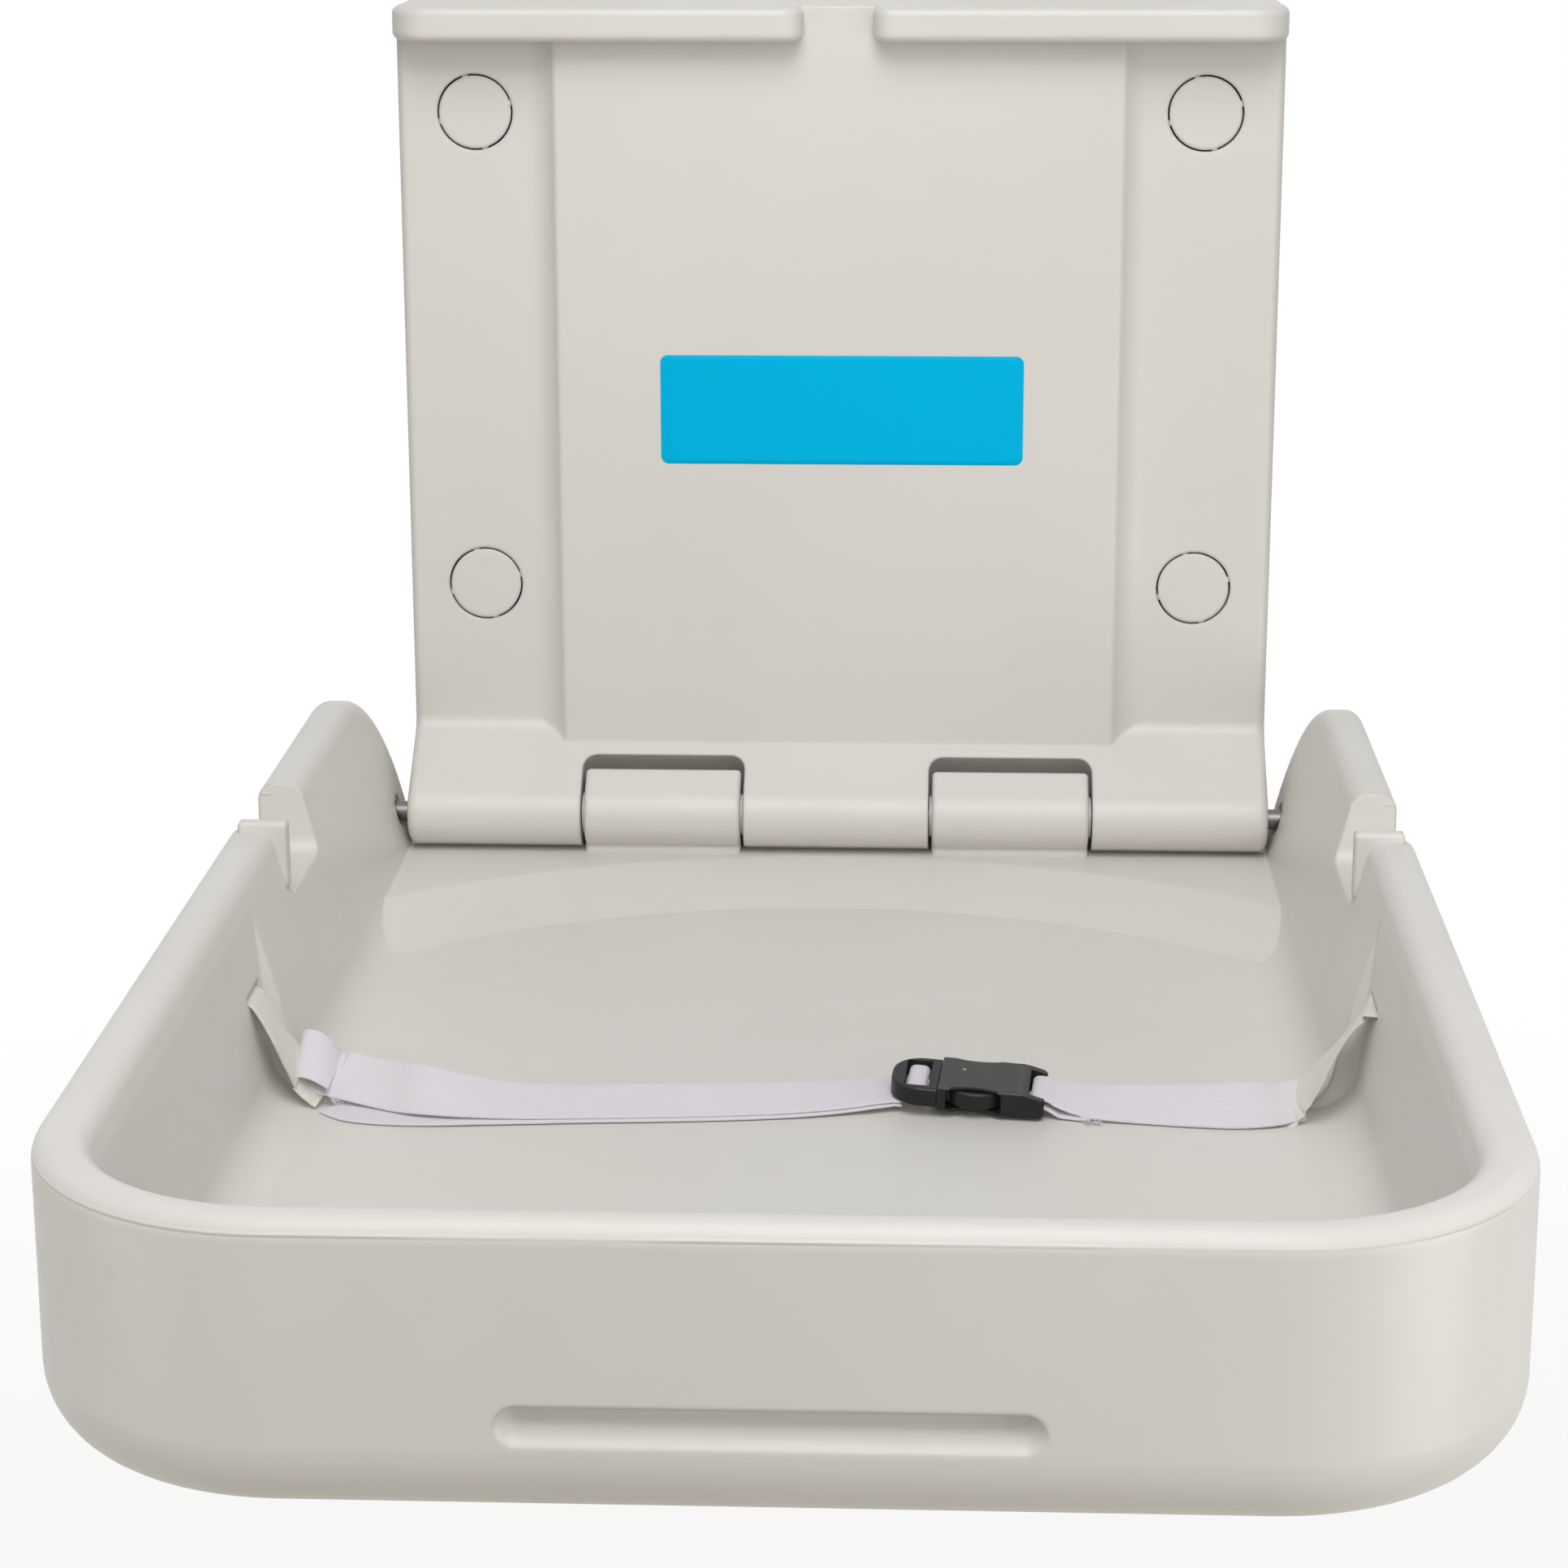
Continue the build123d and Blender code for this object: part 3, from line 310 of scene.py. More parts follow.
class Value:
    """A number, colour or vector that varies over a surface; operators add Math nodes."""

    def __init__(self, shading, socket):
        self.shading = shading
        self.socket = socket

    def maths(self, operation, *values):
        """Adds a Math node with the given values."""
        sockets = dict(enumerate(values))
        return self.shading.node("ShaderNodeMath", {"operation": operation}, sockets)

    def __add__(self, other):
        return self.maths("ADD", self, other)

    def __radd__(self, other):
        return self.maths("ADD", other, self)

    def __sub__(self, other):
        return self.maths("SUBTRACT", self, other)

    def __rsub__(self, other):
        return self.maths("SUBTRACT", other, self)

    def __mul__(self, other):
        return self.maths("MULTIPLY", self, other)

    def __rmul__(self, other):
        return self.maths("MULTIPLY", other, self)

    def __neg__(self):
        return self.maths("MULTIPLY", self, -1)

    def __abs__(self):
        return self.maths("ABSOLUTE", self)

    def floor(self):
        return self.maths("FLOOR", self)

    def fraction(self):
        return self.maths("FRACT", self)

    def sine(self):
        return self.maths("SINE", self)

    def root(self):
        return self.maths("SQRT", self)

    def at_least(self, other):
        return self.maths("MAXIMUM", self, other)

    def above(self, other):
        return self.maths("GREATER_THAN", self, other)

    def ease(self, low, high, start=0.0, end=1.0):
        """Smooth step from start to end while the value goes from low to high."""
        return self.shading.node(
            "ShaderNodeMapRange",
            {"interpolation_type": "SMOOTHSTEP"},
            {"Value": self, "From Min": low, "From Max": high, "To Min": start, "To Max": end},
        )

    def twin(self, output):
        """Another output of the same node."""
        return Value(self.shading, self.socket.node.outputs[output])

    def parts(self):
        """The X, Y and Z of a vector."""
        split = self.shading.node("ShaderNodeSeparateXYZ", {}, {0: self})
        return [split.twin(name) for name in "XYZ"]


class Shading:
    """A node tree under construction."""

    def __init__(self, tree):
        self.tree = tree

    def node(self, kind, settings, sockets, output=0):
        """Adds a node: its settings are set first, then the values or links of its sockets."""
        made = self.tree.nodes.new(kind)
        for key, setting in settings.items():
            setattr(made, key, setting)
        for key, value in sockets.items():
            if isinstance(value, Value):
                self.tree.links.new(value.socket, made.inputs[key])
            elif value is not None:
                made.inputs[key].default_value = value
        return Value(self, made.outputs[output])

    def seen_directly(self):
        """One for camera rays, and also for mirror and glass rays."""
        path = self.node("ShaderNodeLightPath", {}, {}, "Is Camera Ray")
        return path.at_least(path.twin("Is Glossy Ray")).at_least(path.twin("Is Transmission Ray"))

    def output(self, value):
        """Links a shader to the tree's surface output."""
        target = next(node for node in self.tree.nodes if "Output" in node.bl_idname)
        self.tree.links.new(value.socket, target.inputs["Surface"])


class Finish(Shading):
    """A procedural material under construction."""

    def __init__(self, name):
        self.material = bpy.data.materials.new(name)
        self.material.use_nodes = True
        super().__init__(self.material.node_tree)
        self.shader = self.tree.nodes["Principled BSDF"]

    def place(self):
        """Object coordinates in metres."""
        return self.node("ShaderNodeTexCoord", {}, {}, "Object")

    def along_webbing(self):
        """The piece's own UV map: metres along the webbing and across it."""
        return self.node("ShaderNodeUVMap", {"uv_map": "webbing"}, {})

    def noise(self, vector, scale, detail=2.0, roughness=0.5):
        """Noise from zero to one, with scale as features per metre."""
        sockets = {"Vector": vector, "Scale": scale, "Detail": detail, "Roughness": roughness}
        return self.node("ShaderNodeTexNoise", {}, sockets)

    def mix(self, factor, first, second):
        """Mixes two colours."""
        first = first if isinstance(first, Value) else (*first, 1)
        second = second if isinstance(second, Value) else (*second, 1)
        sockets = {0: factor, 6: first, 7: second}
        return self.node("ShaderNodeMix", {"data_type": "RGBA"}, sockets, 2)

    def bump(self, height, distance, strength=1.0, normal=None):
        """A bump in metres, on top of another one where it is given."""
        sockets = {"Strength": strength, "Distance": distance, "Height": height, "Normal": normal}
        return self.node("ShaderNodeBump", {}, sockets)

    def soft_edges(self, radius):
        """Normals that round off the sharp edges of a solid by this radius."""
        return self.node("ShaderNodeBevel", {"samples": 6}, {"Radius": radius})

    def surface(self, **sockets):
        """Sets or links the shader's sockets; underscores in names stand for spaces."""
        for key, value in sockets.items():
            target = self.shader.inputs[key.replace("_", " ")]
            if isinstance(value, Value):
                self.tree.links.new(value.socket, target)
            else:
                target.default_value = value
        return self.material


def scaled(tint, share):
    """A colour with each channel multiplied by a share."""
    return tuple(share * channel for channel in tint)


def parting_line(finish, place, looks):
    """One on a patchy line round the outside of the bed, under its rim, and zero elsewhere."""
    x, y, z = place.parts()
    over_x = (abs(x) - (BED_HIGH[0] - BED_CORNER)).at_least(0)
    over_y = (-y + (BED_LOW[1] + BED_CORNER)).at_least(0)
    inset = 0.006
    outside = ((over_x * over_x + over_y * over_y).root() - BED_CORNER).above(-inset)
    level = BED_HIGH[2] - looks.seam_drop
    line = abs(z - level).ease(0.0, looks.seam_width, 1.0, 0.0) * outside
    return line * finish.noise(place, 11.0).ease(0.38, 0.62, 0.25, 1.0)


def moulded_plastic(name, looks, seam=False):
    """Cloudy light plastic with a fine grain, faint specks and, on the bed, a parting line."""
    finish = Finish(name)
    place = finish.place()
    cloud = finish.noise(place, 6.0, detail=3.0).ease(0.35, 0.65)
    tone = finish.mix(cloud, tuple(looks.body), tuple(looks.shade))
    cells = finish.node("ShaderNodeTexVoronoi", {"feature": "F1"}, {"Vector": place, "Scale": 9.0})
    chance = cells.twin("Color").parts()[0]
    spot = cells.ease(0.012, 0.045, 1.0, 0.0) * chance.above(0.8)
    tone = finish.mix(spot * 0.35, tone, tuple(looks.speck))
    grain = finish.noise(place, looks.grain, detail=1.0)
    ripple = finish.noise(place, 16.0)
    scuff = finish.noise(place, 55.0, detail=4.0, roughness=0.7).ease(0.45, 0.8)
    normal = finish.bump(ripple, 0.0006, strength=0.5, normal=finish.soft_edges(looks.edge))
    normal = finish.bump(grain, 0.00004, strength=0.5, normal=normal)
    if seam:
        line = parting_line(finish, place, looks)
        normal = finish.bump(line, 0.0004, normal=normal)
        tone = finish.mix(line * 0.22, tone, tuple(looks.speck))
    rough = looks.roughness + 0.05 * cloud + 0.08 * scuff
    return finish.surface(Base_Color=tone, Roughness=rough, Normal=normal, IOR=1.48)


def drawn_steel(name, tint, roughness, plated):
    """Bright bar with fine lines along X, or dull plated sheet with a soft crystal pattern."""
    finish = Finish(name)
    place = finish.place()
    if plated:
        sockets = {"Vector": place, "Scale": 160.0}
        spangle = finish.node("ShaderNodeTexVoronoi", {"feature": "F1"}, sockets)
        pattern = spangle.twin("Color").parts()[1]
    else:
        x, y, z = place.parts()
        along, across = 30.0, 2500.0
        sockets = {0: x * along, 1: y * across, 2: z * across}
        pattern = finish.noise(finish.node("ShaderNodeCombineXYZ", {}, sockets), 1.0)
    tone = finish.mix(pattern * 0.3, tint, scaled(tint, 0.72))
    normal = finish.bump(pattern, 0.00002, strength=0.6)
    rough = roughness + 0.12 * pattern
    return finish.surface(Base_Color=tone, Roughness=rough, Normal=normal, Metallic=1.0)


def bush_plastic(name, looks):
    """Smooth pale bearing plastic with faint turning rings."""
    finish = Finish(name)
    place = finish.place()
    rings = (place.parts()[0] * 9000.0).sine()
    cloud = finish.noise(place, 60.0)
    tone = finish.mix(cloud, (0.74, 0.73, 0.69), tuple(looks.body))
    normal = finish.bump(rings, 0.00001, strength=0.4)
    return finish.surface(Base_Color=tone, Roughness=0.35 + 0.1 * cloud, Normal=normal)


def buckle_plastic(name, sizes, top=False):
    """Dark satin plastic; on the socket, painted light: an upper face painted paler as if lit from
    above, and one painted glint.
    """
    finish = Finish(name)
    place = finish.place()
    grain = finish.noise(place, 2600.0)
    rubbed = finish.noise(place, 130.0, detail=3.0).ease(0.5, 0.8)
    black = tuple(sizes.black)
    tone = finish.mix(rubbed * 0.5, black, scaled(black, 1.9))
    if top:
        buckle = Buckle(sizes)
        face = sizes.thickness / 2
        x, y, z = place.parts()
        a, b, c = (float(share) for share in buckle.up)
        height = a * x + b * y + c * z - float(buckle.up @ buckle.middle)
        # Painted light: the upper face is painted paler than the sides, as if lit from above
        upper = height.ease(face - 0.0011, face - 0.0002)
        tone = finish.mix(upper, tone, tuple(sizes.top))
        # Painted glint: a bright spot painted on the upper face, behind the socket's mouth
        painted_glint = buckle.at(sizes.mouth + sizes.painted_glint_in, face) + buckle.across * sizes.painted_glint_back
        sockets = {0: place, 1: tuple(painted_glint)}
        apart = finish.node("ShaderNodeVectorMath", {"operation": "DISTANCE"}, sockets, "Value")
        tone = finish.mix(apart.ease(0.0004, 0.0009, 1.0, 0.0), tone, tuple(sizes.painted_glint))
    normal = finish.bump(grain, 0.00004, strength=0.5)
    rough = 0.3 + 0.14 * grain
    return finish.surface(Base_Color=tone, Roughness=rough, Normal=normal, Specular_IOR_Level=0.3)


def woven_webbing(name, sizes, tint):
    """Warp-faced webbing: rows of yarn along it, ribs across it, firmer selvedges, soft fuzz."""
    finish = Finish(name)
    along, across, _ = finish.along_webbing().parts()
    yarn = (across * (math.pi / sizes.yarn)).sine()
    row = (across * (1.0 / sizes.yarn)).floor()
    shift = (row * 0.5).fraction() * (2 * math.pi)
    rib = (along * (2 * math.pi / sizes.rib) + shift).sine() * 0.5 + 0.5
    weave = abs(yarn) * (0.45 + 0.55 * rib)
    half = sizes.width / 2
    selvedge = abs(across).ease(half - 0.0022, half - 0.0012)
    place = finish.place()
    fuzz = finish.noise(place, 1900.0)
    worn = finish.noise(place, 34.0, detail=3.0).ease(0.35, 0.75)
    dark = scaled(tint, 0.9)
    tone = finish.mix(weave.ease(0.0, 0.8), dark, tint)
    tone = finish.mix(worn * 0.16, tone, scaled(tint, 0.86))
    tone = finish.mix(selvedge * 0.15, tone, dark)
    normal = finish.bump(weave + 0.25 * fuzz, 0.0001, strength=0.8)
    finish.surface(Sheen_Weight=0.25, Sheen_Roughness=0.5, Specular_IOR_Level=0.25)
    return finish.surface(Base_Color=tone, Roughness=0.78 + 0.12 * fuzz, Normal=normal)


def thread_finish(name, tint):
    """Twisted sewing thread."""
    finish = Finish(name)
    sockets = {"Vector": finish.place(), "Scale": 900.0}
    twist = finish.node("ShaderNodeTexWave", {"bands_direction": "DIAGONAL"}, sockets)
    tone = finish.mix(twist, scaled(tint, 0.8), tint)
    normal = finish.bump(twist, 0.0001, strength=0.6)
    return finish.surface(Base_Color=tone, Roughness=0.7, Normal=normal)


def vinyl(name, tint):
    """Vinyl film with a faint orange peel."""
    finish = Finish(name)
    place = finish.place()
    peel = finish.noise(place, 420.0)
    cloud = finish.noise(place, 20.0)
    tone = finish.mix(cloud * 0.25, tint, scaled(tint, 0.93))
    normal = finish.bump(peel, 0.00003, strength=0.4)
    rough = 0.42 + 0.08 * cloud
    return finish.surface(Base_Color=tone, Roughness=rough, Normal=normal, Specular_IOR_Level=0.04)


def floor_finish(sizes):
    """Pale floor that fades into the white background where it is seen directly."""
    finish = Finish("pale_floor")
    place = finish.place()
    tone = finish.mix(finish.noise(place, 2.0), (0.66, 0.6, 0.5), (0.69, 0.63, 0.53))
    finish.surface(Base_Color=tone, Roughness=0.9)
    x, y, _ = place.parts()
    far = (x * x + y * y).root().ease(sizes.fade_near, sizes.fade_far, 0.9, 1.0)
    glow = finish.node("ShaderNodeEmission", {}, {"Color": (1, 1, 1, 1), "Strength": 1.0})
    plain = Value(finish, finish.shader.outputs[0])
    sockets = {0: finish.seen_directly() * far, 1: plain, 2: glow}
    finish.output(finish.node("ShaderNodeMixShader", {}, sockets))
    return finish.material


# Surfaces


def mesh_piece(name, points, faces, material, uv=None):
    """A mesh object at the origin from an array of points and a list of face arrays."""
    mesh = bpy.data.meshes.new(name)
    counts = np.concatenate([np.full(len(f), f.shape[1]) for f in faces])
    corners = np.concatenate([f.ravel() for f in faces])
    starts = np.concatenate([[0], np.cumsum(counts)[:-1]])
    mesh.vertices.add(len(points))
    mesh.vertices.foreach_set("co", points.astype(np.float32).ravel())
    mesh.loops.add(len(corners))
    mesh.loops.foreach_set("vertex_index", corners.astype(np.int32))
    mesh.polygons.add(len(counts))
    mesh.polygons.foreach_set("loop_start", starts.astype(np.int32))
    mesh.update(calc_edges=True)
    mesh.validate()
    if uv is not None:
        layer = mesh.uv_layers.new(name="webbing")
        layer.data.foreach_set("uv", uv[corners].astype(np.float32).ravel())
    mesh.shade_smooth()
    mesh.materials.append(material)
    piece = bpy.data.objects.new(name, mesh)
    bpy.context.scene.collection.objects.link(piece)
    return piece


def grid_faces(rows, columns):
    """Quads of a grid whose columns close on themselves, with faces that point outwards."""
    row, this = np.meshgrid(np.arange(rows - 1) * columns, np.arange(columns), indexing="ij")
    after, following = (this + 1) % columns, row + columns
    corners = [row + this, row + after, following + after, following + this]
    return np.stack(corners, axis=-1).reshape(-1, 4)


def run_lengths(places):
    """Distance along a line of places, from its first one."""
    return np.r_[0, np.cumsum(np.linalg.norm(np.diff(places, axis=0), axis=1))]


def drawn_run(table, count=60):
    """Cubic Hermite curve with central slopes through a table of front edges: places and widths.

    The middle of the webbing is the front edge plus half a width along the leaning width.
    """
    table = np.array(table)
    chord = run_lengths(table[:, :3])
    slopes = np.gradient(table, chord, axis=0)
    at = np.linspace(0, chord[-1], count)
    span = np.clip(np.searchsorted(chord, at, side="right") - 1, 0, len(chord) - 2)
    reach = (chord[span + 1] - chord[span])[:, None]
    t = (at - chord[span])[:, None] / reach
    rows = (
        (2 * t**3 - 3 * t**2 + 1) * table[span]
        + (t**3 - 2 * t**2 + t) * reach * slopes[span]
        + (3 * t**2 - 2 * t**3) * table[span + 1]
        + (t**3 - t**2) * reach * slopes[span + 1]
    )
    lean, turn = np.radians(rows[:, 3:].T)
    level = np.cos(turn)
    widths = np.stack([np.sin(turn), level * np.cos(lean), level * np.sin(lean)], axis=1)
    edges = np.stack([rows[:, 0], -rows[:, 1], AXIS[2] + rows[:, 2]], axis=1)
    return edges + widths * bpy.context.scene.webbing_sizes.width / 2, widths


def soft_run(groups, pitch=0.0007, softness=0.0009, neighbours=5):
    """Joins places and widths, spaces them evenly, then averages each with its neighbours.

    The average is weighted by exp(-(distance / softness)^2 / 2), so corners become soft bends.
    Past an end the stations are mirrored through it, so the ends stay where they are.
    """
    places = np.concatenate([np.atleast_2d(p) for p, _ in groups])
    widths = np.concatenate([np.broadcast_to(w, np.atleast_2d(p).shape) for p, w in groups])
    stations = np.concatenate([places, widths], axis=1)
    run = run_lengths(places)
    at = np.linspace(0, run[-1], int(run[-1] / pitch) + 1)
    even = np.stack([np.interp(at, run, column) for column in stations.T], axis=1)
    offsets = np.arange(-neighbours, neighbours + 1)
    weights = np.exp(-0.5 * (offsets * pitch / softness) ** 2)
    weights = weights / weights.sum()
    last = len(even) - 1
    index = np.arange(len(even))[:, None] + offsets[None]
    inside = np.clip(index, 0, last)
    end = np.where(index < 0, 0, last)
    mirrored = 2 * even[end] - even[np.clip(2 * end - index, 0, last)]
    window = np.where((index != inside)[..., None], mirrored, even[inside])
    return np.sum(window * weights[None, :, None], axis=1)


def unit(vectors):
    """Vectors scaled to length one."""
    return vectors / np.linalg.norm(vectors, axis=-1, keepdims=True)


def web_profile(width, thickness, steps=12):
    """Flat outline with half-round edges, as (across, lift), anticlockwise."""
    radius = thickness / 2
    half = width / 2 - radius
    turn = np.linspace(-math.pi / 2, math.pi / 2, 7)
    right = np.stack([half + radius * np.cos(turn), radius * np.sin(turn)], axis=1)
    top = np.stack([np.linspace(half, -half, steps + 2)[1:-1], np.full(steps, radius)], axis=1)
    left = np.stack([-half - radius * np.cos(turn), -radius * np.sin(turn)], axis=1)
    bottom = np.stack([np.linspace(-half, half, steps + 2)[1:-1], np.full(steps, -radius)], axis=1)
    return np.concatenate([right, top, left, bottom])


def carried_band(name, places, widths, sizes, material):
    """Closed webbing: point(i, j) = place(i) + across(j) * width(i) + lift(j) * normal(i)."""
    along = unit(np.gradient(places, axis=0))
    widths = unit(widths - along * np.sum(widths * along, axis=1, keepdims=True))
    normals = np.cross(along, widths)
    across, lift = web_profile(sizes.width, sizes.thickness).T[:, None, :, None]
    points = places[:, None] + across * widths[:, None] + lift * normals[:, None]
    rows, columns = points.shape[:2]
    run = np.broadcast_to(run_lengths(places)[:, None, None], (rows, columns, 1))
    uv = np.concatenate([run, np.broadcast_to(across, run.shape)], axis=-1)
    ring = np.arange(columns)[None]
    ends = [ring[:, ::-1], ring + (rows - 1) * columns]
    faces = [grid_faces(rows, columns), *ends]
    return mesh_piece(name, points.reshape(-1, 3), faces, material, uv.reshape(-1, 2))


class Buckle:
    """The middle of the buckle, its directions, and places along it."""

    def __init__(self, sizes):
        turned = np.eye(3)
        for axis, amount in ((0, sizes.tilt), (1, sizes.pitch), (2, -sizes.yaw)):
            c, s = math.cos(amount), math.sin(amount)
            step = np.eye(3)
            i, j = [(1, 2), (2, 0), (0, 1)][axis]
            step[i, i], step[j, j], step[i, j], step[j, i] = c, c, -s, s
            turned = turned @ step
        self.along, self.across, self.up = turned.T
        rise = (
            CLEARANCE
            - bpy.context.scene.belt_places.floor_drop
            + sizes.width / 2 * math.sin(sizes.tilt)
            + sizes.thickness / 2 * math.cos(sizes.tilt)
            + sizes.socket_length * math.sin(sizes.pitch)
        )
        self.middle = np.array([sizes.x, -sizes.out, AXIS[2] + rise])
        self.plug_start = sizes.mouth - CLEARANCE - sizes.plug_length
        self.bar_middle = self.plug_start + sizes.frame_bar + sizes.slot + sizes.bar / 2
        self.socket_bar = sizes.mouth + sizes.socket_length - sizes.bar / 2

    def at(self, u, w):
        """The place u to the right of the middle, along the buckle, and w above it."""
        return self.middle + self.along * u + self.up * w


def bend(middle, first, second, radius, start=0, end=180):
    """Arc about a middle: middle + radius * (cos a * first + sin a * second), a in degrees."""
    turn = np.linspace(math.radians(start), math.radians(end), 9)[:, None]
    return middle + radius * (np.cos(turn) * first + np.sin(turn) * second)


def webbing_piece(name, groups, sizes, material, node):
    """Carries the webbing's outline through the stations and lets it stand for a CAD node."""
    run = soft_run(groups)
    piece = carried_band(name, run[:, :3], run[:, 3:], sizes, material)
    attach(piece, "bed")
    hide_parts(node)


def ring_about(first, second, sides):
    """Ring of points about an axis: cos a * first + sin a * second."""
    turn = np.linspace(0, 2 * math.pi, sides, endpoint=False)[:, None]
    return np.cos(turn) * first + np.sin(turn) * second


def tubes(name, points, material):
    """Closed tubes of sewing thread from an array of points: tube, ring, place on the ring."""
    count, steps, sides = points.shape[:3]
    caps = np.stack([np.arange(sides)[::-1], np.arange(sides) + (steps - 1) * sides])
    starts = (np.arange(count) * steps * sides)[:, None, None]
    walls = grid_faces(steps, sides)[None] + starts
    faces = [walls.reshape(-1, 4), (caps[None] + starts).reshape(-1, sides)]
    piece = mesh_piece(name, points.reshape(-1, 3), faces, material)
    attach(piece, "bed")


def dipped(places, widths, at_x, depth, spread=0.0013):
    """Pulls the webbing down at a seam: depth * exp(-((x - at_x) / spread)^2) along its normal."""
    along = unit(np.gradient(places, axis=0))
    up = unit(np.cross(along, widths))
    up = up * np.sign(up[:, 2:])
    return places - depth * np.exp(-(((places[:, :1] - at_x) / spread) ** 2)) * up


def seam(name, place, along, width, sizes, material, steps=8, sides=8):
    """One row of stitches across the webbing, a little into its upper face.

    Each is a tube about centre + t * stitch / 2 * width - 0.6 * radius * t^2 * up, with t from
    -1 to 1, that swells by sqrt(1 - t^4) of the thread's radius.
    """
    up = unit(np.cross(along, width))
    radius = sizes.thread_radius
    count = int(sizes.width / sizes.stitch_pitch)
    across = (np.arange(count) - (count - 1) / 2) * sizes.stitch_pitch
    centres = place + across[:, None] * width + (sizes.thickness / 2 + radius * 0.35) * up
    t = np.sin(np.linspace(-math.pi / 2, math.pi / 2, steps))[:, None]
    spine = t * width * sizes.stitch / 2 - 0.6 * radius * t**2 * up
    swell = radius * np.sqrt(np.clip(1 - t**4, 0.0004, 1))
    stitch = spine[:, None] + swell[:, None] * ring_about(np.cross(width, up), up, sides)
    tubes(name, centres[:, None, None] + stitch, material)


def thread_tuft(name, root, directions, shape, material, seed, count=46, steps=8, sides=5):
    """Loose thread ends: tubes along root + s * heading + s^2 * curl, each a little different.

    The shape holds the root's offset from the webbing, the spread of the roots, the heading and
    the curl, each in metres along the given directions.
    """
    offset, spread, heading, curl = np.array(shape) @ np.array(directions)
    random = np.random.default_rng(seed)
    starts = root + offset + random.uniform(-1, 1, (count, 1)) * spread
    scatter = random.normal(0, 1, (2, count, 3))
    heading = heading * random.uniform(0.4, 1.1, (count, 1)) + 0.0006 * scatter[0]
    curl = curl * random.uniform(0.2, 1.2, (count, 1)) + 0.0008 * scatter[1]
    s = np.linspace(0, 1, steps)[None, :, None]
    spine = starts[:, None] + s * heading[:, None] + s**2 * curl[:, None]
    radius = bpy.context.scene.webbing_sizes.thread_radius * (1 - 0.3 * s[..., None])
    ring = ring_about(np.array([0, 1.0, 0]), np.array([0, 0, 1.0]), sides)
    tubes(name, spine[:, :, None] + radius * ring, material)


def open_fold(start, width, sizes, belt):
    """Teardrop loop from a seam out to the fold and back: places, widths, and its two directions.

    start + away * reach * share + lift * (hollow * sin(t) * |sin(t / 2)|^0.9 + bulge * share *
    (1 - share) + thickness * (cos(t / 2) - 1) / 2), where share = (1 - cos(t)) / 2 and t goes from
    0 to 2 pi, so that it ends one thickness under its start.
    """
    corner = np.array([-belt.fold_x, -belt.fold_out, AXIS[2] + belt.fold_rise])
    fold_width = unit(np.array(FOLD_WIDTH))
    chord = corner + sizes.width / 2 * fold_width - start
    reach = np.linalg.norm(chord) - sizes.thickness / 2
    away = unit(chord)
    lift = unit(np.cross(width, away))
    t = np.linspace(0, 2 * math.pi, 49)[:, None]
    share = (1 - np.cos(t)) / 2
    height = (
        belt.hollow * np.sin(t) * np.abs(np.sin(t / 2)) ** 0.9
        + belt.bulge * share * (1 - share)
        + sizes.thickness * (np.cos(t / 2) - 1) / 2
    )
    places = start + away * reach * share + lift * height
    return places, unit(width + (fold_width - width) * share), away, lift


def dress(names, material):
    """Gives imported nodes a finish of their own."""
    for name in names:
        node = NODES[name]
        node.data.materials.clear()
        node.data.materials.append(material)


def named(*parts):
    """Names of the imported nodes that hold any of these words."""
    return [name for name in NODES if any(part in name for part in parts)]


# Operators


class TABLE_OT_mouldings(bpy.types.Operator):
    """Finish the wall panel, the bed and their covers"""

    bl_idname = "table.mouldings"
    bl_label = "Mouldings"

    def execute(self, context):
        looks = context.scene.moulding_looks
        covers = named("bolt_cap", "rod_end_cap")
        dress(["bed_shell"], moulded_plastic("bed_plastic", looks, seam=True))
        dress(["wall_panel", *covers], moulded_plastic("panel_plastic", looks))
        dress(named("bush"), bush_plastic("bush_plastic", looks))
        return {"FINISHED"}


class TABLE_OT_steel(bpy.types.Operator):
    """Finish the rod, the keeper bars, the plates and the washers"""

    bl_idname = "table.steel"
    bl_label = "Steel"

    def execute(self, context):
        # Painted shade: the steel tint is darkened to stand in for the shaded gap the rod sits in
        # and reflects; the keeper bars share it
        shade_darkened = drawn_steel("bright_steel", (0.2, 0.2, 0.195), 0.3, plated=False)
        dress(named("hinge_rod", "belt_keeper"), shade_darkened)
        dull = drawn_steel("plated_steel", (0.6, 0.6, 0.61), 0.38, plated=True)
        dress(named("strap_plate", "bolt_washers"), dull)
        return {"FINISHED"}


class TABLE_OT_buckle(bpy.types.Operator):
    """Finish the buckle"""

    bl_idname = "table.buckle"
    bl_label = "Buckle"

    def execute(self, context):
        sizes = context.scene.buckle_sizes
        dress(named("buckle"), buckle_plastic("buckle_plastic", sizes))
        # Painted light on the socket: a paler upper face as if lit from above, and one painted
        # glint
        dress(["buckle_socket"], buckle_plastic("socket_plastic", sizes, top=True))
        return {"FINISHED"}


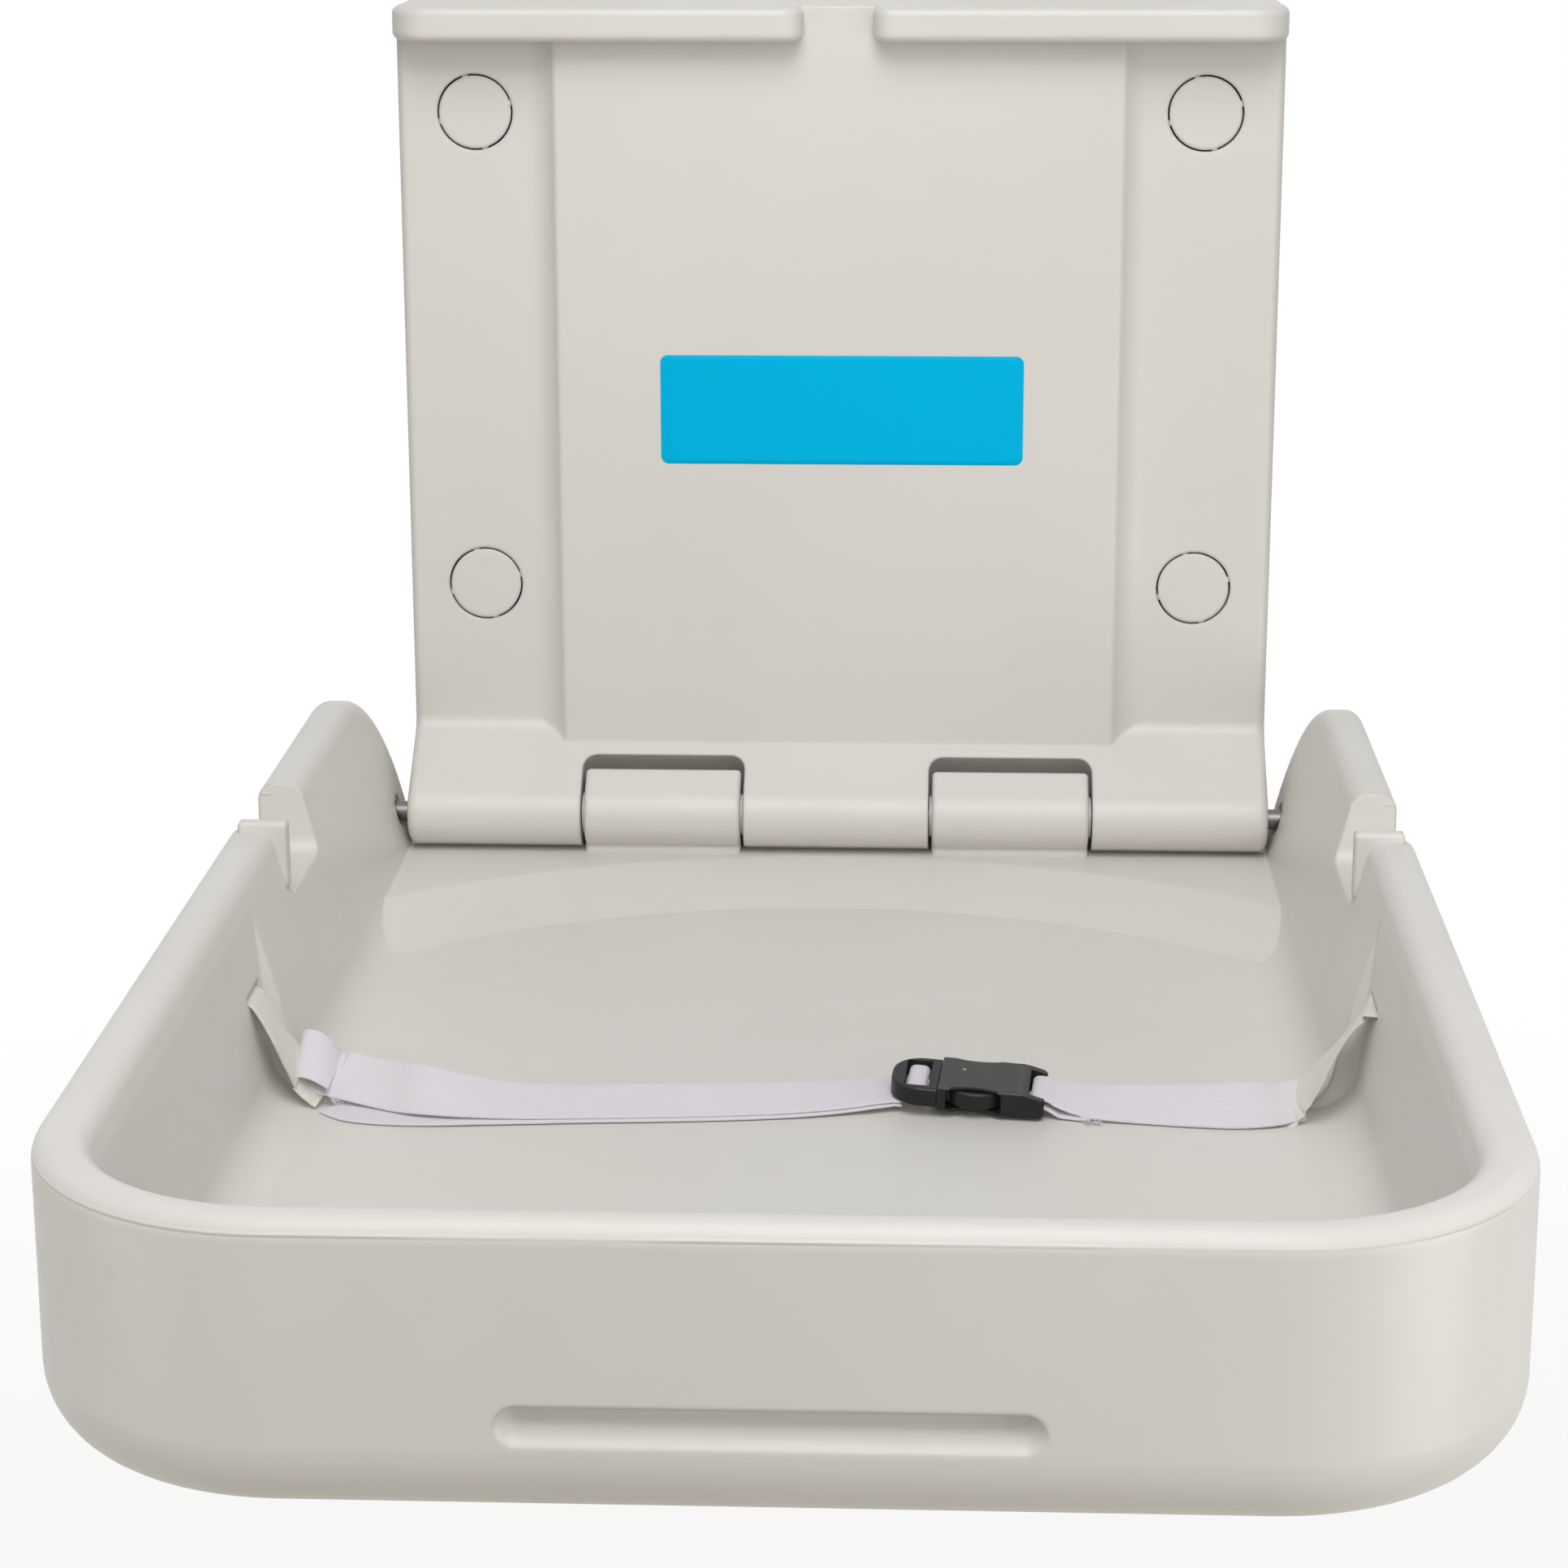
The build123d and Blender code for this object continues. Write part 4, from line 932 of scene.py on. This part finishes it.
class TABLE_OT_belt(bpy.types.Operator):
    """Make the lilac belt: its two halves, the free end, the seams and their thread ends"""

    bl_idname = "table.belt"
    bl_label = "Belt"

    def execute(self, context):
        scene = context.scene
        sizes, belt, parts = scene.webbing_sizes, scene.belt_places, scene.buckle_sizes
        buckle = Buckle(parts)
        lilac = woven_webbing("lilac_webbing", sizes, tuple(sizes.lilac))
        thread = thread_finish("thread", tuple(sizes.thread))
        thickness, half = sizes.thickness, sizes.width / 2
        ring = parts.bar_thickness / 2 + belt.gap + thickness / 2
        straight = belt.ring_half - ring
        under = -(parts.frame_thickness / 2 + 2 * belt.gap + thickness / 2)
        across = buckle.across

        # Left half, from its sewn-down end round the open fold to the wrap on the bar
        places, widths = drawn_run(MAIN_LEFT)
        loop, loop_widths, away, lift = open_fold(places[0], widths[0], sizes, belt)
        end = loop[-1] - away * belt.sewn_end - lift * belt.gap
        # Where the wrap enters the frame and stops under its bar, and where the seam lies
        lead_in, tuck, seam_shift = 0.0012, 0.001, 0.0004
        frame_edge = buckle.plug_start + parts.frame_bar
        near_bar, far_bar = buckle.bar_middle - straight, buckle.bar_middle + straight
        left = [
            (end, widths[0]),
            (loop[::-1][:-1], loop_widths[::-1][:-1]),
            (places, widths),
            (buckle.at(buckle.plug_start, under), across),
            (buckle.at(frame_edge - lead_in, under), across),
            (bend(buckle.at(near_bar, 0), -buckle.along, buckle.up, ring, -50, 90), across),
            (bend(buckle.at(far_bar, 0), buckle.up, buckle.along, ring), across),
            (buckle.at(near_bar + tuck, -ring), across),
        ]
        webbing_piece("belt_left_web", left, sizes, lilac, "belt_left")
        seam_place = places[0] + away * seam_shift
        seam("seam_left", seam_place, away, widths[0], sizes, thread)
        front_end = end - widths[0] * half
        thread_tuft(
            "thread_ends_left", front_end, (away, widths[0], lift), TUFT_LEFT, thread, seed=5
        )

        # Free end, folded back under the left half
        under_main = under - thickness - CLEARANCE
        tail = [
            drawn_run(TAIL),
            (buckle.at(buckle.plug_start, under_main), across),
            (buckle.at(frame_edge, under_main), across),
        ]
        webbing_piece("belt_tail_web", tail, sizes, lilac, "belt_tail")

        # Right half, from its short layer round the socket's bar to the flat fold at the end
        places, widths = drawn_run(MAIN_RIGHT, 140)
        places = dipped(places, widths, belt.seam_x, belt.dip)
        short_places, short_widths = drawn_run(SHORT_RIGHT, 24)
        near_bar, far_bar = buckle.socket_bar - straight, buckle.socket_bar + straight
        away = unit(np.array(FLAT_FOLD))
        lift = unit(np.cross(away, widths[-1]))
        radius = belt.flat_radius
        fold = places[-1] + away * belt.flat_reach
        right = [
            (short_places[::-1], short_widths[::-1]),
            (buckle.at(far_bar, -ring), across),
            (bend(buckle.at(near_bar, 0), -buckle.up, -buckle.along, ring), across),
            (buckle.at(far_bar, ring), across),
            (places, widths),
            (fold, widths[-1]),
            (bend(fold - lift * radius, lift, away, radius), widths[-1]),
            (places[-1] - away * belt.flat_under - lift * 2 * radius, widths[-1]),
        ]
        webbing_piece("belt_right_web", right, sizes, lilac, "belt_right")
        near = np.argmin(np.abs(places[:, 0] - belt.seam_x))
        along = unit(places[near + 1] - places[near])
        up = unit(np.cross(along, widths[near]))
        seam("seam_right", places[near], along, widths[near], sizes, thread)
        front_end = short_places[-1] - short_widths[-1] * half
        thread_tuft(
            "thread_ends_right", front_end, (along, widths[near], up), TUFT_RIGHT, thread, seed=8
        )
        return {"FINISHED"}


class TABLE_OT_anchor_webs(bpy.types.Operator):
    """Make the cream webs from the side walls down to the folds of the belt"""

    bl_idname = "table.anchor_webs"
    bl_label = "Anchor webs"

    def execute(self, context):
        sizes, gap = context.scene.webbing_sizes, context.scene.belt_places.gap
        cream = woven_webbing("cream_webbing", sizes, tuple(sizes.cream))
        level, rise = np.array([0, 1.0, 0]), np.array([0, 0, 1.0])
        into_slot, through_slot, arch = 0.004, 0.0085, 0.0008
        for name, side in (("left", -1.0), ("right", 1.0)):
            low, high = node_box("belt_keeper_" + name)
            keeper = (low + high) / 2
            reach = (high - low)[2] / 2 + gap + sizes.thickness / 2
            outward = np.array([side, 0, 0])
            x, out, height, lean, turn = np.array(ANCHOR_LINES[name]).T
            lean, turn = np.radians(lean), np.radians(turn)
            places = np.stack([side * x, -out, AXIS[2] + height], axis=1)
            widths = [side * np.sin(turn), np.cos(lean) * np.cos(turn), np.sin(lean)]
            # Round the keeper, in through the slot, then down the drawn line
            groups = [
                (bend(keeper, -rise, outward, reach), level),
                (keeper - outward * into_slot + rise * arch, level),
                (keeper - outward * through_slot, level),
                (places, unit(np.stack(widths, axis=1))),
            ]
            node = "anchor_web_" + name
            webbing_piece(node + "_web", groups, sizes, cream, node)
        return {"FINISHED"}


class TABLE_OT_sticker(bpy.types.Operator):
    """Make the bare sticker on the panel"""

    bl_idname = "table.sticker"
    bl_label = "Bare sticker"

    def execute(self, context):
        sizes = context.scene.sticker_sizes
        corner, thickness = sizes.corner, sizes.thickness
        half_width, half_height = sizes.width / 2 - corner, sizes.height / 2 - corner
        quarter = np.linspace(0, math.pi / 2, 9)
        turn = np.concatenate([quarter + start * math.pi / 2 for start in range(4)])
        right = np.repeat([1, -1, -1, 1], len(quarter))
        top = np.repeat([1, 1, -1, -1], len(quarter))
        across = right * half_width + corner * np.cos(turn)
        rise = top * half_height + corner * np.sin(turn)
        # Rings of the outline: its share of the full size, and the height over the panel
        share, lift = np.array(
            [(0.9, thickness), (0.999, thickness), (1.0, thickness * 0.7), (1.0, 0.00001)]
        ).T[:, :, None]
        points = np.stack(
            np.broadcast_arrays(
                sizes.x + across * share,
                -sizes.panel_depth - lift,
                AXIS[2] + sizes.rise + rise * share,
            ),
            axis=-1,
        )
        rows, count = points.shape[:2]
        ring = np.arange(count)[None]
        faces = [grid_faces(rows, count)[:, ::-1], ring, (ring + (rows - 1) * count)[:, ::-1]]
        film = vinyl("cyan_vinyl", tuple(sizes.cyan))
        piece = mesh_piece("bare_sticker", points.reshape(-1, 3), faces, film)
        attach(piece, "wall_unit")
        return {"FINISHED"}


class TABLE_OT_stage(bpy.types.Operator):
    """Make the floor, the light and the camera"""

    bl_idname = "table.stage"
    bl_label = "Stage"

    def execute(self, context):
        scene = context.scene
        sizes = scene.stage_sizes
        corners = np.array([[-1, -1, 0], [1, -1, 0], [1, 1, 0], [-1, 1, 0]])
        points = corners * sizes.floor_half - np.array([0, 0, sizes.floor_drop])
        floor = mesh_piece("floor", points, [np.array([[0, 1, 2, 3]])], floor_finish(sizes))
        floor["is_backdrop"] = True

        scene.world = bpy.data.worlds.new("studio")
        scene.world.use_nodes = True
        studio = Shading(scene.world.node_tree)
        lights = [
            studio.node("ShaderNodeBackground", {}, {"Color": (1, 1, 1, 1), "Strength": strength})
            for strength in (sizes.sky, 1.0)
        ]
        sockets = {0: studio.seen_directly(), 1: lights[0], 2: lights[1]}
        studio.output(studio.node("ShaderNodeMixShader", {}, sockets))

        for name, place, side in LAMPS:
            lamp = bpy.data.lights.new(name, "AREA")
            lamp.shape = "SQUARE"
            lamp.size = side
            lamp.energy = getattr(sizes, name)
            holder = bpy.data.objects.new(name, lamp)
            holder.location = place
            facing = LAMP_TARGET - Vector(place)
            holder.rotation_euler = facing.to_track_quat("-Z", "Y").to_euler()
            scene.collection.objects.link(holder)

        camera = bpy.data.cameras.new("camera")
        camera.lens = sizes.lens
        camera.sensor_width = 36
        camera.clip_end = 50
        holder = bpy.data.objects.new("camera", camera)
        holder.location = (sizes.camera_x, -sizes.camera_out, sizes.camera_rise)
        facing = Euler((math.pi / 2 - sizes.pitch, 0, sizes.yaw)).to_matrix()
        rolled = facing @ Euler((0, 0, sizes.roll)).to_matrix()
        holder.rotation_euler = rolled.to_euler()
        scene.collection.objects.link(holder)
        scene.camera = holder
        scene.view_settings.view_transform = "Standard"
        return {"FINISHED"}


class TABLE_PT_panel(bpy.types.Panel):
    """Lists the pieces of the changing table"""

    bl_label = "Changing table"
    bl_idname = "TABLE_PT_panel"
    bl_space_type = "VIEW_3D"
    bl_region_type = "UI"
    bl_category = "Changing table"

    def draw(self, context):
        for operator in OPERATORS:
            self.layout.operator(operator.bl_idname)


GROUPS = {
    "moulding_looks": MouldingLooks,
    "webbing_sizes": WebbingSizes,
    "belt_places": BeltPlaces,
    "buckle_sizes": BuckleSizes,
    "sticker_sizes": StickerSizes,
    "stage_sizes": StageSizes,
}
OPERATORS = (
    TABLE_OT_mouldings,
    TABLE_OT_steel,
    TABLE_OT_buckle,
    TABLE_OT_belt,
    TABLE_OT_anchor_webs,
    TABLE_OT_sticker,
    TABLE_OT_stage,
)


def register():
    for group in (*GROUPS.values(), *OPERATORS, TABLE_PT_panel):
        bpy.utils.register_class(group)
    for name, group in GROUPS.items():
        setattr(bpy.types.Scene, name, PointerProperty(type=group))


def unregister():
    for name in GROUPS:
        delattr(bpy.types.Scene, name)
    for group in reversed((*GROUPS.values(), *OPERATORS, TABLE_PT_panel)):
        bpy.utils.unregister_class(group)


def main():
    cad_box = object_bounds()
    register()
    bpy.ops.table.mouldings()
    bpy.ops.table.steel()
    bpy.ops.table.buckle()
    bpy.ops.table.belt()
    bpy.ops.table.anchor_webs()
    bpy.ops.table.sticker()
    bpy.ops.table.stage()
    sizes = {"cad": cad_box, "visual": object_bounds()}
    sizes = {name: [[float(v) for v in corner] for corner in box] for name, box in sizes.items()}


if __name__ == "__main__":
    main()
